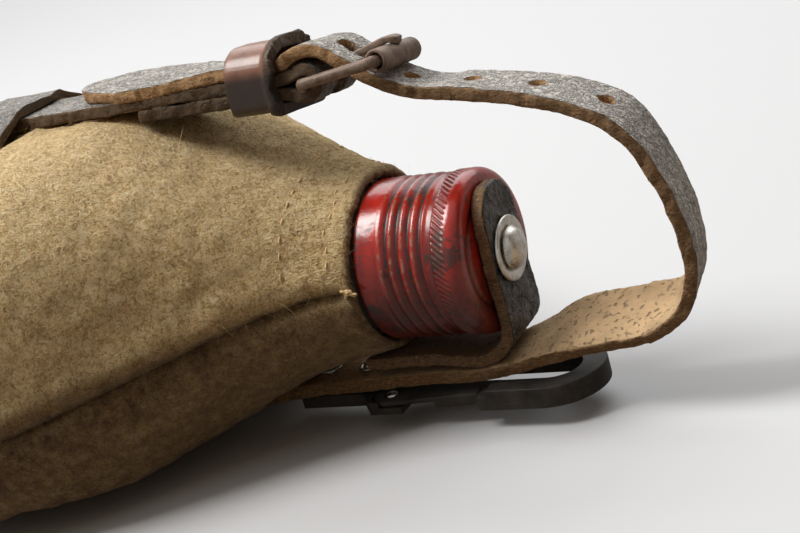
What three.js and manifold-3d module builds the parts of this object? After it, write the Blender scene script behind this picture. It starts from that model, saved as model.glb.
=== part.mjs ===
// A felt-covered field canteen: an aluminium bottle of kidney section in a sewn felt cover, a screw cap
// kept by a leather tab, and one leather carrying strap that runs round the length of the flask, closes
// with a roller buckle on the front and carries a snap hook on the back.
// Millimetres, +Z up. The flask lies on its back with its mouth along +X. Every piece is first placed
// with the felt's neck rim at x = 0 and the neck's axis on y = z = 0, and the whole is then set down so
// that the origin is the middle of its underside.
import * as THREE from "three";
import { mergeVertices } from "three/addons/utils/BufferGeometryUtils.js";
import Module from "manifold-3d";

const wasm = await Module();
wasm.setup();

// Driving dimensions of the felt-covered body
const CLEARANCE = 0.3; // between pieces that lie against each other
const FELT = 3.0; // thickness of the felt
const BODY_LENGTH = 160; // neck rim to base, over the felt
const BODY_HALF_WIDTH = 71.5; // at the widest, over the felt
const BODY_FRONT = 43; // neck axis to the front of the belly
const BODY_BACK = 38; // neck axis to the lowest of the two back lobes
const BODY_NARROWING = 5; // how much the half width loses towards the base
const BACK_HOLLOW = 7; // depth of the hollow between the back lobes
const LOBE_PLACE = 0.58; // where the lobes lie, as a share of the half width
const REST_CUT = 0.5; // how deep the lobes are pressed flat where the flask lies
const SEAM_DROP = 12; // how far the side seams lie behind the neck axis
const BASE_ROUND = 22; // radius of the base's edge
const SHOULDER_WIDTH_RUN = 88; // length over which the neck widens to the body
const SHOULDER_FRONT_RUN = 68;
const FRONT_FULLNESS = 2.55; // 2 is an ellipse, more is squarer
const SHOULDER_BACK_RUN = 70;
const NECK_FELT_RADIUS = 19.8; // over the felt, at the rim
const SEAM_GAP = 0.3; // between the two felt panels

// The bottle's wall and neck, and the rolled thread that the cap shares
const BOTTLE_WALL = 1.2;
const BOTTLE_SLACK = 0.7; // between the bottle and the felt
const NECK_BORE_RADIUS = 13.2;
const NECK_PLAIN_RADIUS = 15.7;
const LIP_PLACE = 21.3; // top of the neck
const THREAD_PITCH = 2.72;
const THREAD_DEPTH = 0.42; // half the height from groove to crest
const THREAD_START = 5.5;
const THREAD_TURNS = 4.5;
const THREAD_CLEARANCE = 0.42; // radial, between the neck's thread and the cap's

// Screw cap
const CAP_SHEET = 0.9;
const CAP_THREAD_RADIUS = 17.4; // middle of the rolled thread, outside
const CAP_SKIRT_RADIUS = 17.9;
const CAP_NECK_RADIUS = 17.0; // plain groove between thread and knurl
const CAP_KNURL_RADIUS = 18;
const CAP_KNURL_WIDTH = 3.4;
const CAP_END = 25.4;
const CAP_SHOULDER = 2.6; // radius of the rounded edge of the cap's end
const CAP_SKIRT_EDGE = 0.4;
const GASKET_THICKNESS = 2.4;
const GASKET_HOLE_RADIUS = 6.4;

// Cap rivet, washers and leather tab
const RIVET_RADIUS = 2;
const RIVET_HEAD_RADIUS = 4.1;
const RIVET_HEAD_HEIGHT = 2.3;
const RIVET_WASHER_RADIUS = 7.2;
const RIVET_WASHER_SHEET = 0.8;
const RIVET_BURR_RADIUS = 5.2;

// Leather
const STRAP_WIDTH = 16;
const STRAP_THICKNESS = 2.8;
const STRAP_HOLE_RADIUS = 1.9;
const STRAP_HOLE_SPACING = 14.2;
const STRAP_HOLE_COUNT = 4; // holes left free beside the one in use
const STRAP_FIRST_HOLE = 14.2; // from the hole in use to the next
const TONGUE_SLOT_LENGTH = 8; // the hole in use, drawn long by the tongue
const TONGUE_SLOT_WIDTH = 4.2;
const BAND_WIDTH = 18; // leather band round the body
const BAND_THICKNESS = 2;
const BAND_PLACE = 93; // its middle, below the neck rim
const KEEPER_LENGTH = 12.5;
const KEEPER_THICKNESS = 1.8;
const KEEPER_PLACE = -17.2;
const KEEPER_SLACK = 1.9; // room left over the strap inside the keeper

// Roller buckle, given at the middle of its hinge bar
const BUCKLE_X = -4.5;
const BUCKLE_Z = BODY_FRONT;
const BUCKLE_RISE = 7; // degrees that the frame rises towards the roller
const BUCKLE_LEAN = -7; // degrees that buckle and strap lean about the neck axis
const BUCKLE_WIRE = 2.4;
const BUCKLE_LENGTH = 18.2; // between the middles of the two bars
const BUCKLE_INNER_WIDTH = STRAP_WIDTH + 2.6;
const BUCKLE_CORNER = 1.8;
const ROLLER_RADIUS = 2.5;
const ROLLER_SHEET = 0.8;
const ROLLER_LENGTH = STRAP_WIDTH + 0.4;
const TONGUE_WIDTH = 3;
const TONGUE_THICKNESS = 1.5;

// Snap hook, a flat plate under the strap
const HOOK_THICKNESS = 3;
const HOOK_TOP = -30.05; // its upper face at the first rivet
const HOOK_RISE = 0.5; // degrees that it rises towards its nose
const HOOK_HALF_WIDTH = 11.5;
const HOOK_BAR = 5.5; // width of the bar round the mouth
const HOOK_NOSE_X = 44; // outer end of the bend
const HOOK_TAIL_X = -31; // end of the plate under the strap
const HOOK_TAIL_HALF_WIDTH = 6.5;
const HOOK_MOUTH_X = 2; // where the space inside the hook begins
const HOOK_RIVET_PLACES = [-14, -25];
const STRAP_AT_RIVETS = [-27.7, -28.15]; // height of the strap's middle there
const HOOK_RIVET_RADIUS = 1.6;
const GATE_PIVOT_X = -6;
const GATE_PIVOT_Y = -7;
const GATE_TIP_X = 20;
const GATE_WIDTH = 3.4;
const GATE_EYE_RADIUS = 4.2;
const GATE_PIN_RADIUS = 1.4;
const GATE_SPRING_SHEET = 0.5;
const GATE_SPRING_WIDTH = 1;
const GATE_SPRING_END_X = 13;

// Press studs of the felt's closing flap
const STUD_COUNT = 3;
const STUD_RADIUS = 5.5;
const STUD_HEIGHT = 1.8;
const FLAP_THICKNESS = 2.4;
const FLAP_START = 24;
const FLAP_END = 80;

const radians = THREE.MathUtils.degToRad;
const mix = THREE.MathUtils.lerp;
const vec = (x, y, z) => new THREE.Vector3(x, y, z);
const spread = (from, to, count) => Array.from({ length: count + 1 }, (_, i) => mix(from, to, i / count));
const smooth = (t) => THREE.MathUtils.smoothstep(t, 0, 1);

// Colours and finishes
const finish = (color, roughness, metalness = 0) =>
  new THREE.MeshStandardMaterial({ color, roughness, metalness });
const FELT_CLOTH = finish(0x8a7648, 0.95);
const ALUMINIUM = finish(0xa9aaa8, 0.45, 1);
const RED_LACQUER = finish(0x8c1a14, 0.35);
const RUBBER = finish(0x2a2522, 0.85);
const BRIGHT_STEEL = finish(0xb9b6ae, 0.35, 1);
const GREY_LEATHER = finish(0x5d5853, 0.8);
const BROWN_LEATHER = finish(0x6a4331, 0.5);
const RUSTED_STEEL = finish(0x5a443b, 0.7, 0.7);
const DARK_STEEL = finish(0x2c2b2a, 0.5, 0.8);

const part = new THREE.Group();
const add = (name, geometry, material, parent = part) => {
  const mesh = new THREE.Mesh(geometry, material);
  mesh.name = name;
  parent.add(mesh);
  return mesh;
};

// Closed surfaces and solids

// A geometry from points and triangles, with its faces turned outwards.
function closedGeometry(points, triangles) {
  let volume = 0;
  for (const [a, b, c] of triangles) {
    volume += points[a].dot(points[b].clone().cross(points[c]));
  }
  const index = triangles.flatMap(([a, b, c]) => (volume < 0 ? [a, c, b] : [a, b, c]));
  return new THREE.BufferGeometry().setFromPoints(points).setIndex(index);
}

// Joins closed loops of equal length into a surface. Its ends are closed by a fan on the loop's middle
// ("fan"), by pairing each point with the one opposite it ("pairs"), or by joining last to first ("ring").
function sweepLoops(loops, ends) {
  const count = loops[0].length;
  const points = loops.flat();
  const triangles = [];
  const bridge = (from, to) => {
    for (let i = 0; i < count; i++) {
      const j = (i + 1) % count;
      triangles.push([from + i, from + j, to + j], [from + i, to + j, to + i]);
    }
  };
  for (let k = 0; k + 1 < loops.length; k++) bridge(k * count, (k + 1) * count);
  const last = (loops.length - 1) * count;
  if (ends === "ring") bridge(last, 0);
  const closeWithFan = (start, flip) => {
    const middle = new THREE.Vector3();
    for (let i = 0; i < count; i++) middle.addScaledVector(points[start + i], 1 / count);
    points.push(middle);
    for (let i = 0; i < count; i++) {
      const rim = [start + i, start + ((i + 1) % count)];
      triangles.push(flip ? [points.length - 1, rim[1], rim[0]] : [points.length - 1, ...rim]);
    }
  };
  const closeInPairs = (start, flip) => {
    for (let i = 0; i + 1 < count / 2; i++) {
      const [a, b, c, d] = [start + i, start + i + 1, start + count - 2 - i, start + count - 1 - i];
      triangles.push(...(flip ? [[a, c, b], [a, d, c]] : [[a, b, c], [a, c, d]]));
    }
  };
  if (ends === "fan") [closeWithFan(0, true), closeWithFan(last, false)];
  if (ends === "pairs") [closeInPairs(0, true), closeInPairs(last, false)];
  return closedGeometry(points, triangles);
}

function toSolid(geometry) {
  const bare = new THREE.BufferGeometry().setAttribute("position", geometry.getAttribute("position"));
  const merged = mergeVertices(geometry.index ? bare.setIndex(geometry.index) : bare, 1e-4);
  return new wasm.Manifold(
    new wasm.Mesh({
      numProp: 3,
      vertProperties: merged.attributes.position.array,
      triVerts: new Uint32Array(merged.index.array),
    }),
  );
}

function fromSolid(solid) {
  const mesh = solid.getMesh();
  return new THREE.BufferGeometry()
    .setAttribute("position", new THREE.BufferAttribute(new Float32Array(mesh.vertProperties), 3))
    .setIndex(new THREE.BufferAttribute(new Uint32Array(mesh.triVerts), 1));
}

const cut = (geometry, ...tools) =>
  fromSolid(tools.reduce((solid, tool) => solid.subtract(toSolid(tool)), toSolid(geometry)));
const join = (geometry, ...others) =>
  fromSolid(others.reduce((solid, other) => solid.add(toSolid(other)), toSolid(geometry)));

// A turned piece from its [place along the axis, radius] profile, with its axis along +X.
function turned(profile, segments = 20) {
  const outline = profile.map(([along, radius]) => new THREE.Vector2(Math.max(radius, 0), along));
  const lathe = new THREE.LatheGeometry(outline, segments);
  lathe.deleteAttribute("normal");
  lathe.deleteAttribute("uv");
  const merged = mergeVertices(lathe, 1e-4).rotateZ(-Math.PI / 2);
  const places = Array.from({ length: merged.attributes.position.count }, (_, i) =>
    new THREE.Vector3().fromBufferAttribute(merged.attributes.position, i),
  );
  const triangles = [];
  for (let i = 0; i < merged.index.count; i += 3) {
    const corners = [0, 1, 2].map((k) => merged.index.getX(i + k));
    if (new Set(corners).size === 3) triangles.push(corners);
  }
  return closedGeometry(places, triangles);
}
const alongY = (geometry) => geometry.rotateZ(Math.PI / 2);
const alongZ = (geometry) => geometry.rotateY(-Math.PI / 2);

const outlineShape = (points) => new THREE.Shape(points.map(([x, y]) => new THREE.Vector2(x, y)));
const plate = (shape, depth) =>
  new THREE.ExtrudeGeometry(shape, { depth, bevelEnabled: false, curveSegments: 6 });

// The body's section

// Sizes of the body at a distance below the neck rim, measured a given inset inside the felt's face.
function bodySizes(below, inset) {
  const length = BODY_LENGTH - inset;
  const round = BASE_ROUND - inset;
  const intoRound = Math.min(Math.max((below - (length - round)) / round, 0), 1);
  const shrink = round * (1 - Math.sqrt(1 - intoRound ** 2));
  const narrowing = BODY_NARROWING * smooth((below - SHOULDER_WIDTH_RUN) / (BODY_LENGTH - SHOULDER_WIDTH_RUN));
  const kidney = smooth(below / SHOULDER_BACK_RUN);
  const fromNeck = (full, run) => mix(NECK_FELT_RADIUS, full, smooth(below / run)) - inset - shrink;
  return {
    halfWidth: fromNeck(BODY_HALF_WIDTH, SHOULDER_WIDTH_RUN) - narrowing,
    front: fromNeck(BODY_FRONT, SHOULDER_FRONT_RUN),
    back: -fromNeck(BODY_BACK, SHOULDER_BACK_RUN),
    seam: -SEAM_DROP * smooth(below / SHOULDER_WIDTH_RUN) * (1 - 0.7 * (shrink / round)),
    hollow: BACK_HOLLOW * kidney * (1 - shrink / round),
    kidney: kidney * (1 - 0.6 * (shrink / round)),
    flat: -(BODY_BACK - REST_CUT - inset),
  };
}

// Height of the back at a share of the half width: two lobes with a hollow between them.
function backHeight(size, share) {
  const t = Math.abs(share);
  const plain = mix(size.seam, size.back, Math.sqrt(Math.max(1 - t * t, 0)));
  const outside = Math.min(Math.max((t - LOBE_PLACE) / (1 - LOBE_PLACE), 0), 1);
  const lobed =
    t < LOBE_PLACE
      ? size.back + (size.hollow * (1 + Math.cos((Math.PI * t) / LOBE_PLACE))) / 2
      : mix(size.back, size.seam, 1 - Math.sqrt(1 - outside ** 2));
  return Math.max(mix(plain, lobed, size.kidney), size.flat);
}

function frontHeight(size, share) {
  const power = mix(2, FRONT_FULLNESS, size.kidney);
  return mix(size.seam, size.front, Math.max(1 - Math.abs(share) ** power, 0) ** (1 / power));
}

// Shares of the half width at which a section has its points, from one side to the other.
const FRONT_SHARES = spread(0, Math.PI, 14).map(Math.cos);
const REST_FLAT = [LOBE_PLACE + 0.08, LOBE_PLACE - 0.01, LOBE_PLACE - 0.1];
const BACK_HALF = [
  ...spread(0, Math.acos(REST_FLAT[0]), 4).map(Math.cos),
  REST_FLAT[1],
  ...spread(REST_FLAT[2], 0, 3),
];
const BACK_SHARES = [...BACK_HALF, ...BACK_HALF.slice(0, -1).reverse().map((share) => -share)];

// How deep the leather band has pressed the felt in at a distance below the rim.
const bandPress = (below) =>
  Math.abs(below - BAND_PLACE) <= BAND_WIDTH / 2 + CLEARANCE ? BAND_THICKNESS + CLEARANCE : 0;

// One side of a section as points, from the +Y side to the -Y side.
function sectionArc(below, inset, front, gap = 0) {
  const size = bodySizes(below, inset);
  const shares = front ? FRONT_SHARES : BACK_SHARES;
  return shares.map((share) => {
    const height = front ? frontHeight(size, share) : backHeight(size, share);
    const clear = front ? Math.max(height, size.seam + gap) : Math.min(height, size.seam - gap);
    return vec(-below, size.halfWidth * share, clear);
  });
}

const ROUND_STEPS = spread(0, Math.PI / 2, 5).map(Math.sin);
const bodyStations = (inset, steps) => {
  const roundStart = BODY_LENGTH - BASE_ROUND;
  return [
    ...spread(0, roundStart, steps),
    ...ROUND_STEPS.slice(1).map((share) => roundStart + (BASE_ROUND - inset) * share),
  ];
};

// Felt cover

// One felt panel: its outer face from rim to base, and inside it the space for the bottle.
function feltPanel(front) {
  const edge = BAND_WIDTH / 2 + CLEARANCE;
  const step = 0.4;
  const innerEnd = BODY_LENGTH - FELT;
  const bandEdges = [-edge - step, -edge, edge, edge + step].map((offset) => BAND_PLACE + offset);
  const awayFromBand = (below) => Math.abs(below - BAND_PLACE) > edge + 2 * step;
  const stations = bodyStations(0, 14).filter((below) => awayFromBand(below) && below < innerEnd - 1);
  const arc = (below, inset) => sectionArc(below, inset, front, SEAM_GAP / 2);
  const loops = [...stations, ...bandEdges, innerEnd]
    .sort((a, b) => a - b)
    .map((below) => [...arc(below, bandPress(below)), ...arc(below, FELT).reverse()]);
  const innerRim = arc(innerEnd, FELT).reverse();
  const seamLine = (below, share) =>
    innerRim.map((point) => vec(-below, point.y * share, innerRim[0].z));
  loops.push([...arc(mix(innerEnd, BODY_LENGTH, 0.6), 0), ...seamLine(innerEnd, 0.96)]);
  loops.push([...arc(BODY_LENGTH, 0), ...seamLine(BODY_LENGTH, 0.92)]);
  return sweepLoops(loops, "pairs");
}
add("felt_front", feltPanel(true), FELT_CLOTH);
add("felt_back", feltPanel(false), FELT_CLOTH);

// The flap along the far side, sewn to the front panel and closed over the back panel by press studs.
const FLAP_REACH = [0.16, 0.3]; // above and below the seam, as shares of the section's half heights
function flapPoint(below, reach, lift) {
  const size = bodySizes(below, 0);
  const share = Math.sqrt(1 - reach * reach);
  const height = reach > 0 ? frontHeight(size, share) : backHeight(size, Math.sqrt(1 - (reach * 0.75) ** 2));
  const width = size.halfWidth * (reach > 0 ? share : Math.sqrt(1 - (reach * 0.75) ** 2));
  return vec(-below, width + lift, height);
}
const flapLoops = spread(FLAP_START, FLAP_END, 7).map((below) => {
  const reaches = spread(FLAP_REACH[0], -FLAP_REACH[1], 5);
  const inner = reaches.map((reach) => flapPoint(below, reach, CLEARANCE));
  const outer = reaches.map((reach) => flapPoint(below, reach, CLEARANCE + FLAP_THICKNESS));
  return [...outer, ...inner.reverse()];
});
add("closing_flap", sweepLoops(flapLoops, "pairs"), FELT_CLOTH);

for (let i = 0; i < STUD_COUNT; i++) {
  const below = mix(FLAP_START, FLAP_END, (i + 0.7) / (STUD_COUNT + 0.2));
  const face = (down, reach) => flapPoint(below + down, reach, CLEARANCE + FLAP_THICKNESS);
  const out = face(-1, -0.1).sub(face(1, -0.1)).cross(face(0, -0.05).sub(face(0, -0.15))).normalize();
  if (out.y < 0) out.negate();
  const stud = turned([
    [0, 0],
    [0, STUD_RADIUS],
    [0.45 * STUD_HEIGHT, STUD_RADIUS],
    [STUD_HEIGHT, 0.6 * STUD_RADIUS],
    [STUD_HEIGHT, 0],
  ]);
  stud.applyQuaternion(new THREE.Quaternion().setFromUnitVectors(vec(1, 0, 0), out));
  const seat = face(0, -0.1).addScaledVector(out, CLEARANCE + 0.35);
  add(`press_stud_${i + 1}`, stud.translate(seat.x, seat.y, seat.z), BRIGHT_STEEL);
}

// Bottle

const THREAD_END = THREAD_START + THREAD_TURNS * THREAD_PITCH;
const threadShare = (x) =>
  smooth((x - THREAD_START) / (0.6 * THREAD_PITCH)) * smooth((THREAD_END - x) / (0.6 * THREAD_PITCH));
const threadWave = (x, angle) =>
  THREAD_DEPTH * Math.cos((2 * Math.PI * (x - THREAD_START)) / THREAD_PITCH - angle);
const threadPlaces = spread(THREAD_START, THREAD_END, Math.round(THREAD_TURNS * 5));

const RING_ANGLES = [
  ...FRONT_SHARES.map(Math.acos),
  ...BACK_SHARES.slice(1, -1)
    .map((share) => 2 * Math.PI - Math.acos(share))
    .reverse(),
];
const roundLoop = (x, radius) =>
  RING_ANGLES.map((angle) => {
    const r = typeof radius === "function" ? radius(angle) : radius;
    return vec(x, r * Math.cos(angle), r * Math.sin(angle));
  });
const bodyLoop = (below, inset) => [
  ...sectionArc(below, inset, true),
  ...sectionArc(below, inset, false).slice(1, -1).reverse(),
];

function bottle() {
  const outerInset = FELT + BOTTLE_SLACK;
  const innerInset = outerInset + BOTTLE_WALL;
  const threadMiddle = CAP_THREAD_RADIUS - CAP_SHEET - THREAD_CLEARANCE;
  const neckThread = (x) =>
    roundLoop(x, (angle) => {
      const share = threadShare(x);
      return mix(NECK_PLAIN_RADIUS, threadMiddle, share) + share * threadWave(x, angle);
    });
  const inside = bodyStations(innerInset, 10).slice(1).reverse();
  const outside = bodyStations(outerInset, 14);
  const loops = [
    ...inside.map((below) => bodyLoop(below, innerInset)),
    roundLoop(CAP_SKIRT_EDGE, NECK_BORE_RADIUS),
    roundLoop(LIP_PLACE - 0.4, NECK_BORE_RADIUS),
    roundLoop(LIP_PLACE, NECK_BORE_RADIUS + 0.6),
    roundLoop(LIP_PLACE, NECK_PLAIN_RADIUS - 0.6),
    roundLoop(LIP_PLACE - 0.6, NECK_PLAIN_RADIUS),
    ...threadPlaces.map(neckThread).reverse(),
    roundLoop(CAP_SKIRT_EDGE, NECK_PLAIN_RADIUS),
    ...outside.map((below) => bodyLoop(below, outerInset)),
  ];
  return sweepLoops(loops, "fan");
}
add("bottle", bottle(), ALUMINIUM);

// Screw cap, its gasket, rivet and washers

const KNURL_END = CAP_END - CAP_SHOULDER;
const KNURL_START = KNURL_END - CAP_KNURL_WIDTH;
const CAP_INNER_END = CAP_END - CAP_SHEET;

function capShell() {
  const sides = 28;
  const ring = (x, radius, threaded = 0) =>
    spread(0, 2 * Math.PI, sides)
      .slice(0, -1)
      .map((angle) => {
        const r = radius + threaded * threadWave(x, angle);
        return vec(x, r * Math.cos(angle), r * Math.sin(angle));
      });
  const threadRing = (x, skirt, middle) => {
    const share = threadShare(x);
    const plain = x < mix(THREAD_START, THREAD_END, 0.5) ? skirt : middle;
    return ring(x, mix(plain, middle, share), share);
  };
  const holeRadius = RIVET_RADIUS + CLEARANCE + 0.1;
  const inside = CAP_THREAD_RADIUS - CAP_SHEET;
  const insideSkirt = CAP_SKIRT_RADIUS - CAP_SHEET;
  const corner = spread(0, Math.PI / 2, 3).map((angle) =>
    ring(
      KNURL_END + CAP_SHOULDER * Math.sin(angle),
      CAP_KNURL_RADIUS - CAP_SHOULDER * (1 - Math.cos(angle)),
    ),
  );
  const loops = [
    ring(CAP_INNER_END, holeRadius),
    ring(CAP_INNER_END, inside - 1.2),
    ring(CAP_INNER_END - 1.2, inside),
    ...threadPlaces.map((x) => threadRing(x, insideSkirt, inside)).reverse(),
    ring(CAP_SKIRT_EDGE, insideSkirt),
    ring(CAP_SKIRT_EDGE, CAP_SKIRT_RADIUS),
    ...threadPlaces.map((x) => threadRing(x, CAP_SKIRT_RADIUS, CAP_THREAD_RADIUS)),
    ring(THREAD_END + 0.3, CAP_NECK_RADIUS + 0.1),
    ring(KNURL_START - 0.4, CAP_NECK_RADIUS + 0.1),
    ring(KNURL_START, CAP_KNURL_RADIUS),
    ...corner,
    ring(CAP_END, holeRadius),
  ];
  return sweepLoops(loops, "ring");
}
add("cap_shell", capShell(), RED_LACQUER);

const GASKET_START = CAP_INNER_END - CLEARANCE - GASKET_THICKNESS;
const gasketRadius = CAP_THREAD_RADIUS - CAP_SHEET - 1.4;
add(
  "cap_gasket",
  turned([
    [GASKET_START, GASKET_HOLE_RADIUS],
    [GASKET_START, gasketRadius],
    [GASKET_START + GASKET_THICKNESS, gasketRadius],
    [GASKET_START + GASKET_THICKNESS, GASKET_HOLE_RADIUS],
    [GASKET_START, GASKET_HOLE_RADIUS],
  ], 24),
  RUBBER,
);

const TAB_INNER = CAP_END + CLEARANCE;
const TAB_OUTER = TAB_INNER + STRAP_THICKNESS;
const WASHER_START = TAB_OUTER + 0.15;
const HEAD_START = WASHER_START + RIVET_WASHER_SHEET + 0.15;
const BURR_END = CAP_INNER_END - CLEARANCE;
const BURR_START = BURR_END - RIVET_WASHER_SHEET;
const PEEN_END = BURR_START - 0.15;
add(
  "cap_rivet",
  turned([
    [PEEN_END - 0.9, 0],
    [PEEN_END - 0.7, RIVET_RADIUS + 0.8],
    [PEEN_END, RIVET_RADIUS + 1.2],
    [PEEN_END, RIVET_RADIUS],
    [HEAD_START, RIVET_RADIUS],
    [HEAD_START, RIVET_HEAD_RADIUS],
    [HEAD_START + 0.5 * RIVET_HEAD_HEIGHT, RIVET_HEAD_RADIUS * 0.88],
    [HEAD_START + 0.87 * RIVET_HEAD_HEIGHT, RIVET_HEAD_RADIUS * 0.5],
    [HEAD_START + RIVET_HEAD_HEIGHT, 0],
  ]),
  BRIGHT_STEEL,
);
const washer = (start, radius, hole, sheet = RIVET_WASHER_SHEET) =>
  turned([
    [start, hole],
    [start, radius],
    [start + sheet, radius],
    [start + sheet, hole],
    [start, hole],
  ]);
add("cap_rivet_washer", washer(WASHER_START, RIVET_WASHER_RADIUS, RIVET_RADIUS + 0.3), BRIGHT_STEEL);
add("cap_rivet_burr", washer(BURR_START, RIVET_BURR_RADIUS, RIVET_RADIUS + 0.3), BRIGHT_STEEL);

// Leather strips

// A strip of leather through stations [x, z, lean, yaw, y]: lean turns its width about X, yaw about Z.
function leatherPath(stations, steps) {
  const curve = new THREE.CatmullRomCurve3(
    stations.map(([x, z, lean = 0, yaw = 0, y = 0]) => vec(x, y, z)),
    false,
    "centripetal",
  );
  const last = stations.length - 1;
  return spread(0, last, last * steps).map((place) => {
    const k = Math.min(Math.floor(place), last - 1);
    const turn = (column) =>
      radians(mix(stations[k][column] ?? 0, stations[k + 1][column] ?? 0, smooth(place - k)));
    const [lean, yaw] = [turn(2), turn(3)];
    const along = curve.getTangent(place / last);
    const across = vec(Math.sin(yaw), Math.cos(yaw) * Math.cos(lean), Math.sin(lean));
    across.addScaledVector(along, -across.dot(along)).normalize();
    return { at: curve.getPoint(place / last), along, across, out: along.clone().cross(across) };
  });
}

// The strip itself; `widthAt` gives its width share along the path for rounded or pointed ends.
function leatherStrip(path, width, thickness, widthAt = () => 1) {
  const corners = [[1, 1], [-1, 1], [-1, -1], [1, -1]];
  const loops = path.map(({ at, across, out }, i) =>
    corners.map(([side, face]) =>
      at
        .clone()
        .addScaledVector(across, (side * width * widthAt(i, path.length)) / 2)
        .addScaledVector(out, (face * thickness) / 2),
    ),
  );
  return sweepLoops(loops, "fan");
}

// A straight punch through a strip at one of its stations.
function punch({ at, along, across, out }, length, width) {
  const rounded = new THREE.Shape();
  const half = length / 2 - width / 2;
  rounded.absarc(half, 0, width / 2, -Math.PI / 2, Math.PI / 2);
  rounded.absarc(-half, 0, width / 2, Math.PI / 2, 1.5 * Math.PI);
  const depth = 2.4 * STRAP_THICKNESS;
  const tool = new THREE.ExtrudeGeometry(rounded, { depth, bevelEnabled: false, curveSegments: 5 });
  tool.translate(0, 0, -depth / 2);
  return tool.applyMatrix4(new THREE.Matrix4().makeBasis(along, across, out).setPosition(at));
}

// The station at a distance along a path from its start.
function stationAfter(path, distance) {
  let left = distance;
  for (let i = 0; i + 1 < path.length; i++) {
    const step = path[i].at.distanceTo(path[i + 1].at);
    if (step >= left) {
      const between = (key) => path[i][key].clone().lerp(path[i + 1][key], left / step);
      const [along, across] = [between("along").normalize(), between("across")];
      across.addScaledVector(along, -across.dot(along)).normalize();
      return { at: between("at"), along, across, out: along.clone().cross(across) };
    }
    left -= step;
  }
  return path[path.length - 1];
}

// Cap tab: riveted to the cap's end, bent round its edge and led back under the neck
const HALF_LEATHER = STRAP_THICKNESS / 2;
const TAB_FACE = TAB_INNER + HALF_LEATHER;
const underFelt = (below) => {
  const size = bodySizes(below, 0);
  const lowest = Math.min(backHeight(size, 0), backHeight(size, STRAP_WIDTH / 2 / size.halfWidth));
  return lowest - CLEARANCE - HALF_LEATHER;
};
const TAB_UNDER = -(CAP_KNURL_RADIUS + 1.9 + HALF_LEATHER);
const tabPath = leatherPath(
  [
    [TAB_FACE, 15],
    [TAB_FACE, 5],
    [TAB_FACE, -7],
    [TAB_FACE + 0.4, -11.5, -2],
    [TAB_FACE - 0.4, -17.6, 3],
    [TAB_FACE - 6, TAB_UNDER - 0.4, 5],
    [8, TAB_UNDER, 4],
    [-2, underFelt(4), 2],
    [-9.5, underFelt(9.5)],
  ],
  4,
);
const tabEnd = (i) => (i < 5 ? Math.sqrt(1 - (1 - (i + 0.35) / 5.35) ** 2) : 1);
const rivetPunch = turned([
  [TAB_INNER - 2, 0],
  [TAB_INNER - 2, RIVET_RADIUS + CLEARANCE],
  [TAB_OUTER + 2, RIVET_RADIUS + CLEARANCE],
  [TAB_OUTER + 2, 0],
]);
add("cap_tab", cut(leatherStrip(tabPath, STRAP_WIDTH, STRAP_THICKNESS, tabEnd), rivetPunch), GREY_LEATHER);

// Carrying strap: from its fold round the buckle's hinge bar down the front, round the base, up the back,
// round the cap in a free loop and through the buckle to its pointed end
const LEAN = radians(BUCKLE_LEAN);
const leaning = (x, z, yaw = 0) => {
  const height = z - BUCKLE_Z;
  return [x, BUCKLE_Z + height * Math.cos(LEAN), BUCKLE_LEAN, yaw, -height * Math.sin(LEAN)];
};
const FOLD_RADIUS = BUCKLE_WIRE / 2 + CLEARANCE + HALF_LEATHER;
const LAYER = STRAP_THICKNESS + 0.25;
const OVER_FELT = BODY_FRONT + CLEARANCE + HALF_LEATHER;
const FRONT_AT_KEEPER = BUCKLE_Z + 1.4;
const fold = spread(-100, 100, 5).map((angle) =>
  leaning(BUCKLE_X + FOLD_RADIUS * Math.cos(radians(angle)), BUCKLE_Z + FOLD_RADIUS * Math.sin(radians(angle))),
);
const BASE_START = BODY_LENGTH - BASE_ROUND;
const baseFront = spread(0, 90, 3).map((angle) => {
  const reach = BASE_ROUND + CLEARANCE + HALF_LEATHER;
  return [
    -BASE_START - reach * Math.sin(radians(angle)),
    BODY_FRONT - BASE_ROUND + reach * Math.cos(radians(angle)),
  ];
});
const hollowAtStrap = Math.PI * (STRAP_WIDTH / 2 / (BODY_HALF_WIDTH - BODY_NARROWING) / LOBE_PLACE);
const baseBack = spread(90, 0, 3).map((angle) => {
  const deep = BASE_ROUND - (BACK_HOLLOW * (1 + Math.cos(hollowAtStrap))) / 2;
  const [sine, cosine] = [Math.sin(radians(angle)), Math.cos(radians(angle))];
  const slope = Math.hypot(sine / BASE_ROUND, cosine / deep);
  const off = 3.2 * CLEARANCE + HALF_LEATHER;
  return [
    -BASE_START - BASE_ROUND * sine - (off * sine) / BASE_ROUND / slope,
    -BODY_BACK + BASE_ROUND - deep * cosine - (off * cosine) / deep / slope,
  ];
});
const TONGUE_CROSSING = [4.4, BUCKLE_Z + 3.3];
const KEEPER_ENDS = [KEEPER_PLACE + KEEPER_LENGTH / 2 + 0.4, KEEPER_PLACE - KEEPER_LENGTH / 2 - 1];
const besideKeeper = (layer) => [
  leaning(KEEPER_ENDS[0], FRONT_AT_KEEPER + layer * LAYER),
  leaning(KEEPER_ENDS[1], FRONT_AT_KEEPER + layer * LAYER),
  leaning(-50, FRONT_AT_KEEPER - 0.1 + layer * LAYER),
];
const onFelt = (layer) => [
  [-59, OVER_FELT - 0.2 + layer * LAYER, -2],
  [-69, OVER_FELT + layer * LAYER],
];
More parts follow.
